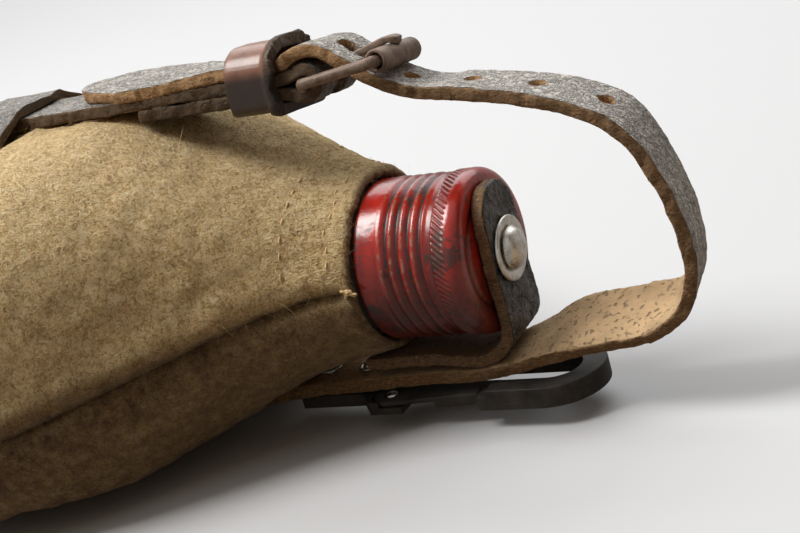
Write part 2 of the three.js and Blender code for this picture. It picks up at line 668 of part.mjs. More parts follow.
const strapStations = [
  ...besideKeeper(-1).reverse(),
  ...fold,
  ...besideKeeper(0),
  ...onFelt(0),
  [-80, OVER_FELT],
  [-110, OVER_FELT],
  ...baseFront,
  ...baseBack,
  [-110, underFelt(110)],
  [-75, underFelt(75)],
  [-58, underFelt(58) - 0.1],
  [-46, underFelt(46)],
  [-36, underFelt(36) - 0.1],
  [HOOK_RIVET_PLACES[1], STRAP_AT_RIVETS[1]],
  [HOOK_RIVET_PLACES[0], STRAP_AT_RIVETS[0]],
  [-3, -26.8],
  [8, -26.3],
  [18, -25.7, 3],
  [CAP_END + 3, -23.3, 9],
  [CAP_END + 17, -18.9, 24],
  [CAP_END + 30.6, -17.2, 22, -3],
  [CAP_END + 39.8, -14, 8, -7],
  [CAP_END + 43.8, -5, 1, -10],
  [CAP_END + 42.9, 8, 0, -9],
  [CAP_END + 39.4, 18.8, 0, -7],
  [CAP_END + 34.8, 26, 0, -3],
  [CAP_END + 24.6, 31.6, -1],
  [CAP_END + 5.6, 36.2, -4],
  [18.3, 38.1, BUCKLE_LEAN],
  leaning(12.2, BUCKLE_Z - 1.9),
  leaning(TONGUE_CROSSING[0], TONGUE_CROSSING[1]),
  leaning(-0.2, BUCKLE_Z + 6.3),
  leaning(-4.6, BUCKLE_Z + 6.7),
  leaning(-8, BUCKLE_Z + 5.7),
  ...besideKeeper(1),
  ...onFelt(1),
];
const STRAP_STEPS = 2;
const strapPath = leatherPath(strapStations, STRAP_STEPS);
const stationIndex = (x, z) => {
  const near = strapPath.map(({ at }) => Math.hypot(at.x - x, at.z - z));
  return near.indexOf(Math.min(...near));
};
const strapPoint = (i, count) => Math.min(1, 0.3 + (0.7 * (count - 1 - i)) / 3);
const slotIndex = stationIndex(...TONGUE_CROSSING);
const towardsCap = strapPath.slice(0, slotIndex + 1).reverse();
const freeHoles = Array.from({ length: STRAP_HOLE_COUNT }, (_, i) =>
  punch(
    stationAfter(towardsCap, STRAP_FIRST_HOLE + i * STRAP_HOLE_SPACING),
    2 * STRAP_HOLE_RADIUS + 0.01,
    2 * STRAP_HOLE_RADIUS,
  ),
);
const hookHole = 2 * (HOOK_RIVET_RADIUS + CLEARANCE);
const hookHoles = HOOK_RIVET_PLACES.map((x, i) =>
  punch(strapPath[stationIndex(x, STRAP_AT_RIVETS[i])], hookHole + 0.01, hookHole),
);
const eyeSlot = new THREE.BoxGeometry(3 * FOLD_RADIUS, TONGUE_SLOT_WIDTH, 2 * FOLD_RADIUS + 4)
  .rotateX(LEAN)
  .translate(BUCKLE_X + 0.4 * FOLD_RADIUS, 0, BUCKLE_Z);
add(
  "carrying_strap",
  cut(
    leatherStrip(strapPath, STRAP_WIDTH, STRAP_THICKNESS, strapPoint),
    punch(strapPath[slotIndex], TONGUE_SLOT_LENGTH, TONGUE_SLOT_WIDTH),
    eyeSlot,
    ...freeHoles,
    ...hookHoles,
  ),
  GREY_LEATHER,
);

// Keeper loop round the strap's three layers behind the buckle
const inLean = new THREE.Matrix4().makeRotationX(LEAN).setPosition(0, 0, BUCKLE_Z);
const box = (halfWidth, low, high) =>
  outlineShape([[-halfWidth, low], [halfWidth, low], [halfWidth, high], [-halfWidth, high]]);
const keeperHalf = STRAP_WIDTH / 2 + CLEARANCE;
const keeperLow = FRONT_AT_KEEPER - LAYER - HALF_LEATHER - CLEARANCE - BUCKLE_Z;
const keeperHigh = FRONT_AT_KEEPER + LAYER + HALF_LEATHER + KEEPER_SLACK - BUCKLE_Z;
const keeperShape = box(
  keeperHalf + KEEPER_THICKNESS,
  keeperLow - KEEPER_THICKNESS,
  keeperHigh + KEEPER_THICKNESS,
);
keeperShape.holes.push(box(keeperHalf, keeperLow, keeperHigh));
const lengthwise = new THREE.Matrix4().makeBasis(vec(0, 1, 0), vec(0, 0, 1), vec(1, 0, 0));
add(
  "strap_keeper",
  plate(keeperShape, KEEPER_LENGTH)
    .applyMatrix4(lengthwise)
    .translate(KEEPER_PLACE - KEEPER_LENGTH / 2, 0, 0)
    .applyMatrix4(inLean),
  BROWN_LEATHER,
);

// Band round the body: over the strap on the front, straight across the hollow on the back
const BAND_OVER_STRAP = OVER_FELT + HALF_LEATHER + CLEARANCE;
const BAND_SLOPE = 0.5; // fall of the band beside the strap that it crosses
function bandPoint(below, share, front, lift) {
  const size = bodySizes(below, BAND_THICKNESS - lift);
  const y = size.halfWidth * share;
  if (!front) return vec(-below, y, Math.abs(share) < LOBE_PLACE ? size.flat : backHeight(size, share));
  const beside = Math.max(Math.abs(y) - STRAP_WIDTH / 2 - CLEARANCE, 0);
  const onFelt = frontHeight(size, share);
  const overStrap = BAND_OVER_STRAP + lift - BAND_SLOPE * beside;
  return vec(-below, y, beside < STRAP_WIDTH ? Math.max(onFelt, overStrap) : onFelt);
}
const strapShare = (STRAP_WIDTH / 2 + CLEARANCE) / BODY_HALF_WIDTH;
const bandFront = [...FRONT_SHARES, strapShare, -strapShare].sort((a, b) => b - a);
const bandRound = [
  ...bandFront.map((share) => [share, true]),
  ...BACK_SHARES.slice(1, -1).reverse().map((share) => [share, false]),
];
const bandEnds = [BAND_PLACE - BAND_WIDTH / 2, BAND_PLACE + BAND_WIDTH / 2];
const bandLoops = bandRound.map(([share, front]) => [
  bandPoint(bandEnds[0], share, front, 0),
  bandPoint(bandEnds[0], share, front, BAND_THICKNESS),
  bandPoint(bandEnds[1], share, front, BAND_THICKNESS),
  bandPoint(bandEnds[1], share, front, 0),
]);
add("body_band", sweepLoops(bandLoops, "ring"), GREY_LEATHER);

// Roller buckle: wire frame, roller and tongue, drawn flat from the hinge bar and then set in place
const onBuckle = new THREE.Matrix4()
  .makeTranslation(BUCKLE_X, 0, BUCKLE_Z)
  .multiply(new THREE.Matrix4().makeRotationX(LEAN))
  .multiply(new THREE.Matrix4().makeRotationY(-radians(BUCKLE_RISE)));

function buckleFrame() {
  const half = BUCKLE_INNER_WIDTH / 2 + BUCKLE_WIRE / 2;
  const corners = [
    [BUCKLE_LENGTH - BUCKLE_CORNER, half - BUCKLE_CORNER, 0],
    [BUCKLE_CORNER, half - BUCKLE_CORNER, 90],
    [BUCKLE_CORNER, BUCKLE_CORNER - half, 180],
    [BUCKLE_LENGTH - BUCKLE_CORNER, BUCKLE_CORNER - half, 270],
  ];
  const loops = corners.flatMap(([x, y, start]) =>
    spread(start, start + 90, 3).map((degrees) => {
      const away = vec(Math.cos(radians(degrees)), Math.sin(radians(degrees)), 0);
      const middle = vec(x, y, 0).addScaledVector(away, BUCKLE_CORNER);
      return spread(0, 2 * Math.PI, 8).slice(0, -1).map((angle) =>
        middle
          .clone()
          .addScaledVector(away, (BUCKLE_WIRE / 2) * Math.cos(angle))
          .setZ((BUCKLE_WIRE / 2) * Math.sin(angle)),
      );
    }),
  );
  return sweepLoops(loops, "ring");
}
add("buckle_frame", buckleFrame().applyMatrix4(onBuckle), RUSTED_STEEL);

const tube = (outer, inner, length) =>
  alongY(
    turned([
      [-length / 2, inner],
      [-length / 2, outer],
      [length / 2, outer],
      [length / 2, inner],
      [-length / 2, inner],
    ], 16),
  );
add(
  "buckle_roller",
  tube(ROLLER_RADIUS, ROLLER_RADIUS - ROLLER_SHEET, ROLLER_LENGTH)
    .translate(BUCKLE_LENGTH, 0, 0)
    .applyMatrix4(onBuckle),
  RUSTED_STEEL,
);

function buckleTongue() {
  const eyeHole = BUCKLE_WIRE / 2 + CLEARANCE;
  const eye = tube(eyeHole + TONGUE_THICKNESS, eyeHole, TONGUE_WIDTH);
  const onRoller = ROLLER_RADIUS + CLEARANCE;
  const top = onRoller + TONGUE_THICKNESS;
  const bar = outlineShape([
    [eyeHole + 0.6, 0.2],
    [BUCKLE_LENGTH - 4, onRoller - 0.5],
    [BUCKLE_LENGTH, onRoller],
    [BUCKLE_LENGTH + 3.4, onRoller - 0.2],
    [BUCKLE_LENGTH + 3.8, top - 0.6],
    [BUCKLE_LENGTH, top],
    [BUCKLE_LENGTH - 4, top - 0.5],
    [eyeHole + 0.4, 0.2 + TONGUE_THICKNESS],
  ]);
  const sideways = new THREE.Matrix4().makeBasis(vec(1, 0, 0), vec(0, 0, 1), vec(0, -1, 0));
  const shaft = plate(bar, TONGUE_WIDTH).applyMatrix4(sideways).translate(0, TONGUE_WIDTH / 2, 0);
  return join(eye, shaft);
}
add("buckle_tongue", buckleTongue().applyMatrix4(onBuckle), RUSTED_STEEL);

// Snap hook, drawn flat with its upper face at zero and then set under the strap at its first rivet
const HOOK_ORIGIN = HOOK_RIVET_PLACES[0];
const onHook = new THREE.Matrix4()
  .makeTranslation(HOOK_ORIGIN, 0, HOOK_TOP)
  .multiply(new THREE.Matrix4().makeRotationY(-radians(HOOK_RISE)))
  .multiply(new THREE.Matrix4().makeTranslation(-HOOK_ORIGIN, 0, 0));
const hookInner = HOOK_HALF_WIDTH - HOOK_BAR;
const bendMiddle = HOOK_NOSE_X - HOOK_HALF_WIDTH;
const upright = (low, high, radius, x, y, sides = 16) =>
  alongZ(turned([[low, 0], [low, radius], [high, radius], [high, 0]], sides)).translate(x, y, 0);

// The gate's leaf spring: held in a slot of the frame, with its free end against the gate's inner edge.
const gateInner = -hookInner + CLEARANCE + GATE_WIDTH;
const gateHeel = GATE_PIVOT_Y + GATE_EYE_RADIUS - 0.2;
const besideGate = (x) =>
  mix(gateHeel, gateInner, (x - GATE_PIVOT_X) / (GATE_TIP_X - 4 - GATE_PIVOT_X)) + CLEARANCE;
const springStart = HOOK_MOUTH_X - 1.8;
function leafSpring(grow) {
  const [from, to] = [springStart - grow, grow > 0 ? HOOK_MOUTH_X + 0.1 : GATE_SPRING_END_X];
  const outline = outlineShape([
    [from, besideGate(from) - grow],
    [to, besideGate(to) - grow],
    [to, besideGate(to) + GATE_SPRING_SHEET + grow],
    [from, besideGate(from) + GATE_SPRING_SHEET + grow],
  ]);
  const height = GATE_SPRING_WIDTH + 4 * grow;
  return plate(outline, height).translate(0, 0, -HOOK_THICKNESS + CLEARANCE - 2 * grow);
}

function hookFrame() {
  const lapEnd = GATE_PIVOT_X + GATE_EYE_RADIUS;
  const outline = new THREE.Shape();
  outline.moveTo(HOOK_TAIL_X, -HOOK_TAIL_HALF_WIDTH);
  outline.lineTo(GATE_PIVOT_X - 8, -HOOK_TAIL_HALF_WIDTH);
  outline.lineTo(GATE_PIVOT_X - 4, -HOOK_HALF_WIDTH);
  outline.lineTo(lapEnd, -HOOK_HALF_WIDTH);
  outline.lineTo(lapEnd, -hookInner);
  outline.lineTo(HOOK_MOUTH_X, -hookInner);
  outline.lineTo(HOOK_MOUTH_X, hookInner);
  outline.lineTo(bendMiddle, hookInner);
  outline.absarc(bendMiddle, 0, hookInner, Math.PI / 2, -Math.PI / 2, true);
  outline.lineTo(GATE_TIP_X - 3, -hookInner);
  outline.lineTo(GATE_TIP_X - 3, -HOOK_HALF_WIDTH + 1);
  outline.lineTo(GATE_TIP_X - 2, -HOOK_HALF_WIDTH);
  outline.lineTo(bendMiddle, -HOOK_HALF_WIDTH);
  outline.absarc(bendMiddle, 0, HOOK_HALF_WIDTH, -Math.PI / 2, Math.PI / 2, false);
  outline.lineTo(GATE_PIVOT_X - 2, HOOK_HALF_WIDTH);
  outline.lineTo(GATE_PIVOT_X - 8, HOOK_TAIL_HALF_WIDTH);
  outline.lineTo(HOOK_TAIL_X, HOOK_TAIL_HALF_WIDTH);
  const body = plate(outline, HOOK_THICKNESS).translate(0, 0, -HOOK_THICKNESS);
  const lap = new THREE.BoxGeometry(HOOK_MOUTH_X - GATE_PIVOT_X + 2, HOOK_HALF_WIDTH + 2, HOOK_THICKNESS);
  lap.translate((HOOK_MOUTH_X + GATE_PIVOT_X) / 2 + 1, -HOOK_HALF_WIDTH / 2 - 0.4, 0);
  const eyeSeat = upright(-HOOK_THICKNESS / 2, 1, GATE_EYE_RADIUS + 0.5, GATE_PIVOT_X, GATE_PIVOT_Y);
  const pinHole = upright(-4, 1, GATE_PIN_RADIUS + CLEARANCE, GATE_PIVOT_X, GATE_PIVOT_Y, 12);
  const rivetHoles = HOOK_RIVET_PLACES.map((x) => upright(-4, 1, HOOK_RIVET_RADIUS + CLEARANCE, x, 0, 12));
  return cut(body, lap, eyeSeat, pinHole, leafSpring(CLEARANCE), ...rivetHoles);
}
add("hook_frame", hookFrame().applyMatrix4(onHook), DARK_STEEL);

function hookGate() {
  const thin = HOOK_THICKNESS / 2 - CLEARANCE;
  const inner = -hookInner + CLEARANCE;
  const lever = outlineShape([
    [GATE_PIVOT_X, GATE_PIVOT_Y - GATE_EYE_RADIUS + 0.2],
    [GATE_TIP_X - 3.3, -HOOK_HALF_WIDTH + 2.6],
    [GATE_TIP_X - 3.3, inner],
    [GATE_TIP_X, inner],
    [GATE_TIP_X, gateInner],
    [GATE_TIP_X - 4, gateInner],
    [GATE_PIVOT_X, gateHeel],
  ]);
  const web = plate(lever, thin).translate(0, 0, -thin);
  const eye = upright(-thin, 0, GATE_EYE_RADIUS, GATE_PIVOT_X, GATE_PIVOT_Y);
  const thick = HOOK_THICKNESS - 0.4;
  const trim = new THREE.BoxGeometry(40, 40, 10).translate(GATE_PIVOT_X - 8, 0, 0);
  const grip = cut(plate(lever, thick).translate(0, 0, -thick), trim);
  const pinHole = upright(-4, 1, GATE_PIN_RADIUS + CLEARANCE, GATE_PIVOT_X, GATE_PIVOT_Y, 12);
  return cut(join(web, eye, grip), pinHole);
}
add("hook_gate", hookGate().applyMatrix4(onHook), DARK_STEEL);
add("hook_gate_spring", leafSpring(0).applyMatrix4(onHook), BRIGHT_STEEL);

const headBelow = -HOOK_THICKNESS - 0.15;
const domedPin = (radius, head, top) =>
  alongZ(
    turned([
      [headBelow - 1.2, 0],
      [headBelow - 1.0, 0.6 * head],
      [headBelow - 0.4, head],
      [headBelow, head],
      [headBelow, radius],
      [top, radius],
      [top, 0],
    ], 16),
  );
add(
  "hook_gate_pin",
  domedPin(GATE_PIN_RADIUS, 2.8, 0.2).translate(GATE_PIVOT_X, GATE_PIVOT_Y, 0).applyMatrix4(onHook),
  BRIGHT_STEEL,
);
const BURR_LIFT = STRAP_THICKNESS + 1.2;
const BURR_SHEET = 0.5;
HOOK_RIVET_PLACES.forEach((x, i) => {
  const rivet = domedPin(HOOK_RIVET_RADIUS, 3.2, BURR_LIFT + BURR_SHEET + 0.4).translate(x, 0, 0);
  add(`hook_rivet_${i + 1}`, rivet.applyMatrix4(onHook), BRIGHT_STEEL);
  const burr = alongZ(washer(BURR_LIFT, 2.9, HOOK_RIVET_RADIUS + 0.25, BURR_SHEET)).translate(x, 0, 0);
  add(`hook_rivet_burr_${i + 1}`, burr.applyMatrix4(onHook), BRIGHT_STEEL);
});

// Setting down: the middle of the underside becomes the origin
const bounds = new THREE.Box3().setFromObject(part);
const middle = bounds.getCenter(vec(0, 0, 0));
for (const mesh of part.children) mesh.geometry.translate(-middle.x, -middle.y, -bounds.min.z);

export default part;
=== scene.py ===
# A felt-covered field canteen lying on its back, dressed piece by piece in the order it is put together.
import math

import bmesh
import bpy
import numpy as np
from mathutils import Matrix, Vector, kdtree


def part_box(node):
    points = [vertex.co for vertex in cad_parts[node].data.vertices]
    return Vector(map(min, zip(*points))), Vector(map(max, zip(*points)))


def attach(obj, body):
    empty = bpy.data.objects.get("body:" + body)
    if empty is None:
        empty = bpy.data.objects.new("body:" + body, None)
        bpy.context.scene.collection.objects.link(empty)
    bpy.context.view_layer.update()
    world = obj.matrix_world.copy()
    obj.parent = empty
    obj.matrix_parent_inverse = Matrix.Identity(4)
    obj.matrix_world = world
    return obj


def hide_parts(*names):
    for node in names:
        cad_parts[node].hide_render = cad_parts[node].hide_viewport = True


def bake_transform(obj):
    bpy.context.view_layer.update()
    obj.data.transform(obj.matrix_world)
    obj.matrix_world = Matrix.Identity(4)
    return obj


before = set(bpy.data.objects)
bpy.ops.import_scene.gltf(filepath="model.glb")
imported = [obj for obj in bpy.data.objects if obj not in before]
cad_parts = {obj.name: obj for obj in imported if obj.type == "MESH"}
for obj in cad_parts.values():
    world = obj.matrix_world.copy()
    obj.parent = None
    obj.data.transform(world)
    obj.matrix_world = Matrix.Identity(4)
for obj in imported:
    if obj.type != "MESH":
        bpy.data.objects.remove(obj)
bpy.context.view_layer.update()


# Neck axis
# Lengths in this file are millimetres from the middle of the felt's neck rim, with +X out of the mouth
# and +Z to the front of the belly. They are set down on the frame's own neck when they become a mesh.
MM = 0.001
cap_low, cap_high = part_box("cap_shell")
NECK = np.array([
    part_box("felt_front")[1].x,
    (cap_low.y + cap_high.y) / 2,
    (cap_low.z + cap_high.z) / 2,
])
FLOOR = -NECK[2] / MM


# Bottle
# A spun aluminium bottle of kidney section with a threaded neck. It is hidden by the felt, apart from the
# neck, which shows when the cap is screwed off.
BODY_LENGTH = 160.0
BODY_HALF_WIDTH = 71.5
BODY_FRONT = 43.0
BODY_BACK = 38.0
BODY_NARROWING = 5.0
BACK_HOLLOW = 7.0
LOBE_PLACE = 0.58
REST_CUT = 0.5
CLEAR_BACK = 31.9
CLEAR_FROM = 28.0
CLEAR_TO = 98.0
SEAM_DROP = 12.0
BASE_ROUND = 22.0
BASE_START = BODY_LENGTH - BASE_ROUND
SHOULDER_WIDTH_RUN = 88.0
SHOULDER_FRONT_RUN = 68.0
SHOULDER_BACK_RUN = 70.0
FRONT_FULLNESS = 2.55
NECK_FELT_RADIUS = 19.8
FELT = 3.0
BOTTLE_SLACK = 0.7
BOTTLE_WALL = 1.2
NECK_BORE = 13.2
NECK_PLAIN = 15.7
LIP_PLACE = 21.3
THREAD_PITCH = 2.72
THREAD_DEPTH = 0.42
THREAD_START = 5.5
THREAD_END = THREAD_START + 4.5 * THREAD_PITCH
NECK_THREAD = 16.08
NECK_SHADE_REACH = 4.0


def smooth(share):
    share = np.clip(share, 0, 1)
    return share * share * (3 - 2 * share)


def mix(low, high, share):
    return low + (high - low) * share


def body_sizes(below, inset):
    """Sizes of the kidney section at a distance below the rim, an inset inside the felt's face."""
    turn = BASE_ROUND - inset
    into = np.clip((below - BASE_START) / turn, 0, 1)
    shrink = turn * (1 - np.sqrt(1 - into**2))
    kidney = smooth(below / SHOULDER_BACK_RUN)
    narrowing = BODY_NARROWING * smooth((below - SHOULDER_WIDTH_RUN) / (BODY_LENGTH - SHOULDER_WIDTH_RUN))
    gone = shrink / turn

    def from_neck(full, run):
        return mix(NECK_FELT_RADIUS, full, smooth(below / run)) - inset - shrink

    return {
        "half_width": from_neck(BODY_HALF_WIDTH, SHOULDER_WIDTH_RUN) - narrowing,
        "front": from_neck(BODY_FRONT, SHOULDER_FRONT_RUN),
        "back": -from_neck(BODY_BACK, SHOULDER_BACK_RUN),
        "seam": -SEAM_DROP * smooth(below / SHOULDER_WIDTH_RUN) * (1 - 0.7 * gone),
        "hollow": BACK_HOLLOW * kidney * (1 - gone),
        "kidney": kidney * (1 - 0.6 * gone),
        "flat": -(BODY_BACK - REST_CUT - inset),
    }


def front_height(size, share):
    power = mix(2, FRONT_FULLNESS, size["kidney"])
    return mix(size["seam"], size["front"], np.maximum(1 - np.abs(share) ** power, 0) ** (1 / power))


def back_height(size, share):
    across = np.abs(share)
    plain = mix(size["seam"], size["back"], np.sqrt(np.maximum(1 - across**2, 0)))
    outside = np.clip((across - LOBE_PLACE) / (1 - LOBE_PLACE), 0, 1)
    hollow = size["back"] + size["hollow"] * (1 + np.cos(np.pi * across / LOBE_PLACE)) / 2
    lobe = mix(size["back"], size["seam"], 1 - np.sqrt(1 - outside**2))
    lobed = np.where(across < LOBE_PLACE, hollow, lobe)
    return np.maximum(mix(plain, lobed, size["kidney"]), size["flat"])


def eased(one, other, knee):
    """The higher of two heights, rounded where they meet."""
    return knee * np.logaddexp(one / knee, other / knee)


def clear_back(size, share, below, inset):
    """Height of the back, whose lobes stay clear of the table between the neck and the band."""
    clear = smooth((below - CLEAR_FROM) / 14) * (1 - smooth((below - CLEAR_TO) / 26))
    lowest = inset - mix(BODY_BACK + 4, CLEAR_BACK, clear)
    return eased(back_height(size, share), lowest, 0.8)


def section(below, inset, angles):
    """Points of the section at each angle, 0 at the far side, a quarter turn at the front."""
    size = body_sizes(below, inset)
    share = np.cos(angles)
    back = clear_back(size, share, below, inset)
    height = np.where(np.sin(angles) >= 0, front_height(size, share), back)
    return np.stack([np.full_like(angles, -below), size["half_width"] * share, height], -1)


def full_turn(count):
    return np.linspace(0, 2 * np.pi, count, endpoint=False)


def round_ring(x, radius, angles):
    return np.stack([np.full_like(angles, x), radius * np.cos(angles), radius * np.sin(angles)], -1)


def thread_share(x):
    run = 0.6 * THREAD_PITCH
    return smooth((x - THREAD_START) / run) * smooth((THREAD_END - x) / run)


def thread_wave(x, angles):
    """The rolled thread: broad rounded ridges with narrow grooves, from 1 on a ridge to -1 in a groove."""
    phase = 2 * np.pi * (x - THREAD_START) / THREAD_PITCH - angles
    return 1 - 2 * (0.5 - 0.5 * np.cos(phase)) ** 1.35


def grid_faces(rows, columns, close_rows=False, close_columns=False):
    r, c = np.meshgrid(
        np.arange(rows if close_rows else rows - 1),
        np.arange(columns if close_columns else columns - 1),
        indexing="ij",
    )
    r2, c2 = (r + 1) % rows, (c + 1) % columns
    corners = [r * columns + c, r * columns + c2, r2 * columns + c2, r2 * columns + c]
    return np.stack(corners, -1).reshape(-1, 4)


def placed(name, data):
    """An object for a mesh, a lamp or the camera, put in the scene."""
    made = bpy.data.objects.new(name, data)
    bpy.context.scene.collection.objects.link(made)
    return made


def add_piece(name, points, faces, finish, body, slot, weld=0.0, outward=True):
    """A smooth-shaded mesh piece in the frame's place, riding on a body if one is named."""
    mesh = bpy.data.meshes.new(name)
    points = np.asarray(points, float).reshape(-1, 3)
    mesh.from_pydata((points * MM + NECK).tolist(), [], [list(map(int, face)) for face in faces])
    if weld or outward:
        work = bmesh.new()
        work.from_mesh(mesh)
        if weld:
            bmesh.ops.remove_doubles(work, verts=work.verts, dist=weld * MM)
        if outward:
            bmesh.ops.recalc_face_normals(work, faces=work.faces)
        work.to_mesh(mesh)
        work.free()
    mesh.shade_smooth()
    piece = placed(name, mesh)
    mesh.materials.append(finish)
    if body:
        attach(piece, body)
    return piece


def carry(piece, name, values):
    """Stores a number for each point of a piece, which its finish reads."""
    kept = piece.data.attributes.new(name, "FLOAT", "POINT")
    kept.data.foreach_set("value", np.asarray(values, np.float32).ravel())


def new_finish(name, roughness, metallic=0.0):
    finish = bpy.data.materials.new(name)
    finish.use_nodes = True
    shader = finish.node_tree.nodes["Principled BSDF"]
    shader.inputs["Roughness"].default_value = roughness
    shader.inputs["Metallic"].default_value = metallic
    return finish, finish.node_tree, shader


def plug(tree, socket, value):
    if isinstance(value, bpy.types.NodeSocket):
        tree.links.new(value, socket)
    elif isinstance(value, tuple) and socket.type == "RGBA":
        socket.default_value = (*value, 1.0)
    else:
        socket.default_value = value


def add_node(tree, kind, plugs, **settings):
    made = tree.nodes.new(kind)
    for key, value in settings.items():
        setattr(made, key, value)
    for key, value in plugs.items():
        plug(tree, made.inputs[key], value)
    return made


def own_space(tree):
    return tree.nodes.new("ShaderNodeTexCoord").outputs["Object"]


def stretched(tree, where, turn, scale):
    """Coordinates turned and then stretched, for marks that run in one direction."""
    made = add_node(tree, "ShaderNodeMapping", {"Vector": where, "Rotation": turn, "Scale": scale})
    return made.outputs["Vector"]


def noise(tree, where, scale, detail=4.0, roughness=0.6, warp=0.0):
    plugs = {"Vector": where, "Scale": scale, "Detail": detail, "Roughness": roughness, "Distortion": warp}
    return add_node(tree, "ShaderNodeTexNoise", plugs).outputs["Fac"]


def ranged(tree, value, low, high, to_low=0.0, to_high=1.0):
    plugs = {"Value": value, "From Min": low, "From Max": high, "To Min": to_low, "To Max": to_high}
    return add_node(tree, "ShaderNodeMapRange", plugs, clamp=True).outputs["Result"]


def reckon(tree, operation, a, b):
    made = tree.nodes.new("ShaderNodeMath")
    made.operation = operation
    plug(tree, made.inputs[0], a)
    plug(tree, made.inputs[1], b)
    return made.outputs[0]


def blended(tree, share, low, high):
    made = tree.nodes.new("ShaderNodeMix")
    made.data_type = "RGBA"
    plug(tree, made.inputs[0], share)
    plug(tree, made.inputs[6], low)
    plug(tree, made.inputs[7], high)
    return made.outputs[2]


def stained(tree, shade, marks, span, strength, stain):
    """A shade with a stain laid over it where the marks run through a span of values."""
    return blended(tree, ranged(tree, marks, *span, 0.0, strength), shade, stain)


def toned(colour, share):
    return tuple(min(1.0, share * part) for part in colour)


def carried(tree, name):
    return add_node(tree, "ShaderNodeAttribute", {}, attribute_name=name).outputs["Fac"]


def roughened(tree, shader, *layers):
    """Bump from (height, depth in millimetres) layers, coarsest first."""
    normal = None
    for height, depth in layers:
        made = add_node(tree, "ShaderNodeBump", {"Height": height, "Distance": depth * MM, "Strength": 1.0})
        if normal is not None:
            tree.links.new(normal, made.inputs["Normal"])
        normal = made.outputs["Normal"]
    tree.links.new(normal, shader.inputs["Normal"])


def dull_aluminium():
    finish, tree, shader = new_finish("dull_aluminium", 0.45, 1.0)
    where = own_space(tree)
    spun = noise(tree, stretched(tree, where, (0, 0, 0), (900, 40, 40)), 1.0, 3)
    stains = noise(tree, where, 90, 5)
    shade = blended(tree, stains, (0.42, 0.42, 0.41), (0.62, 0.62, 0.61))
    # Painted shade: a dark, dull ring round the foot of the neck, where the cap meets the felt.
    grime_and_shade = carried(tree, "grime_and_shade")
    plug(tree, shader.inputs["Base Color"], blended(tree, grime_and_shade, shade, (0.02, 0.016, 0.012)))
    plug(tree, shader.inputs["Metallic"], ranged(tree, grime_and_shade, 0.0, 1.0, 1.0, 0.0))
    plug(tree, shader.inputs["Roughness"], ranged(tree, grime_and_shade, 0.0, 1.0, 0.45, 0.95))
    roughened(tree, shader, (spun, 0.02))
    return finish


BOTTLE_COLUMNS = 128
bottle_angles = full_turn(BOTTLE_COLUMNS)
outer_inset = FELT + BOTTLE_SLACK
inner_inset = outer_inset + BOTTLE_WALL
base_steps = np.sin(np.linspace(0, np.pi / 2, 9))[1:]


def bottle_wall(inset, steps):
    places = [*np.linspace(0, BASE_START, steps), *(BASE_START + (BASE_ROUND - inset) * base_steps)]
    return [section(place, inset, bottle_angles) for place in places]


def neck_ring(x):
    share = thread_share(x)
    radius = mix(NECK_PLAIN, NECK_THREAD, share) + share * THREAD_DEPTH * thread_wave(x, bottle_angles)
    return round_ring(x, radius, bottle_angles)


neck_places = np.linspace(THREAD_START, THREAD_END, 45)
bottle_rings = [
    *bottle_wall(inner_inset, 14)[:0:-1],
    round_ring(0.4, NECK_BORE, bottle_angles),
    round_ring(LIP_PLACE - 0.4, NECK_BORE, bottle_angles),
    round_ring(LIP_PLACE, NECK_BORE + 0.6, bottle_angles),
    round_ring(LIP_PLACE, NECK_PLAIN - 0.6, bottle_angles),
    round_ring(LIP_PLACE - 0.2, NECK_PLAIN - 0.2, bottle_angles),
    round_ring(LIP_PLACE - 0.6, NECK_PLAIN, bottle_angles),
    *[neck_ring(x) for x in neck_places[::-1]],
    round_ring(0.4, NECK_PLAIN, bottle_angles),
    *bottle_wall(outer_inset, 24),
]


def capped_faces(rows, columns):
    """Faces of a tube of rings whose first and last ring are closed by one flat face each."""
    faces = grid_faces(rows, columns, close_columns=True).tolist()
    faces.append(list(range(columns)))
    faces.append(list(range((rows - 1) * columns, rows * columns)))
    return faces


bottle_points = np.concatenate(bottle_rings)
bottle_faces = capped_faces(len(bottle_rings), BOTTLE_COLUMNS)
bottle = add_piece("aluminium_bottle", bottle_points, bottle_faces, dull_aluminium(), "flask", "aluminium")
# Painted shade: the neck's foot is made dark and dull where the cap meets the felt.
carry(bottle, "grime_and_shade", np.exp(-((bottle_points[:, 0] / NECK_SHADE_REACH) ** 4)))
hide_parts("bottle")


# Screw cap
# A pressed aluminium cap with a rolled thread, a band of slanted notches for the fingers and a rounded
# end. Its red lacquer has worn through on the ridges. Grime and painted shade darken its grooves and its
# inside, and painted shade darkens its lower side.
CAP_SHEET = 0.9
CAP_SKIRT_EDGE = 0.4
CAP_SKIRT = 17.9
CAP_THREAD = 17.4
CAP_WAIST = 17.1
CAP_KNURL = 18.0
CAP_END = 25.4
CAP_SHOULDER = 2.6
KNURL_WIDTH = 3.4
KNURL_END = CAP_END - CAP_SHOULDER
KNURL_START = KNURL_END - KNURL_WIDTH
NOTCHES = 84
NOTCH_DEPTH = 0.42
NOTCH_SLANT = 0.085
CAP_COLUMNS = NOTCHES * 6
CAP_HOLE = 2.4
cap_angles = full_turn(CAP_COLUMNS)


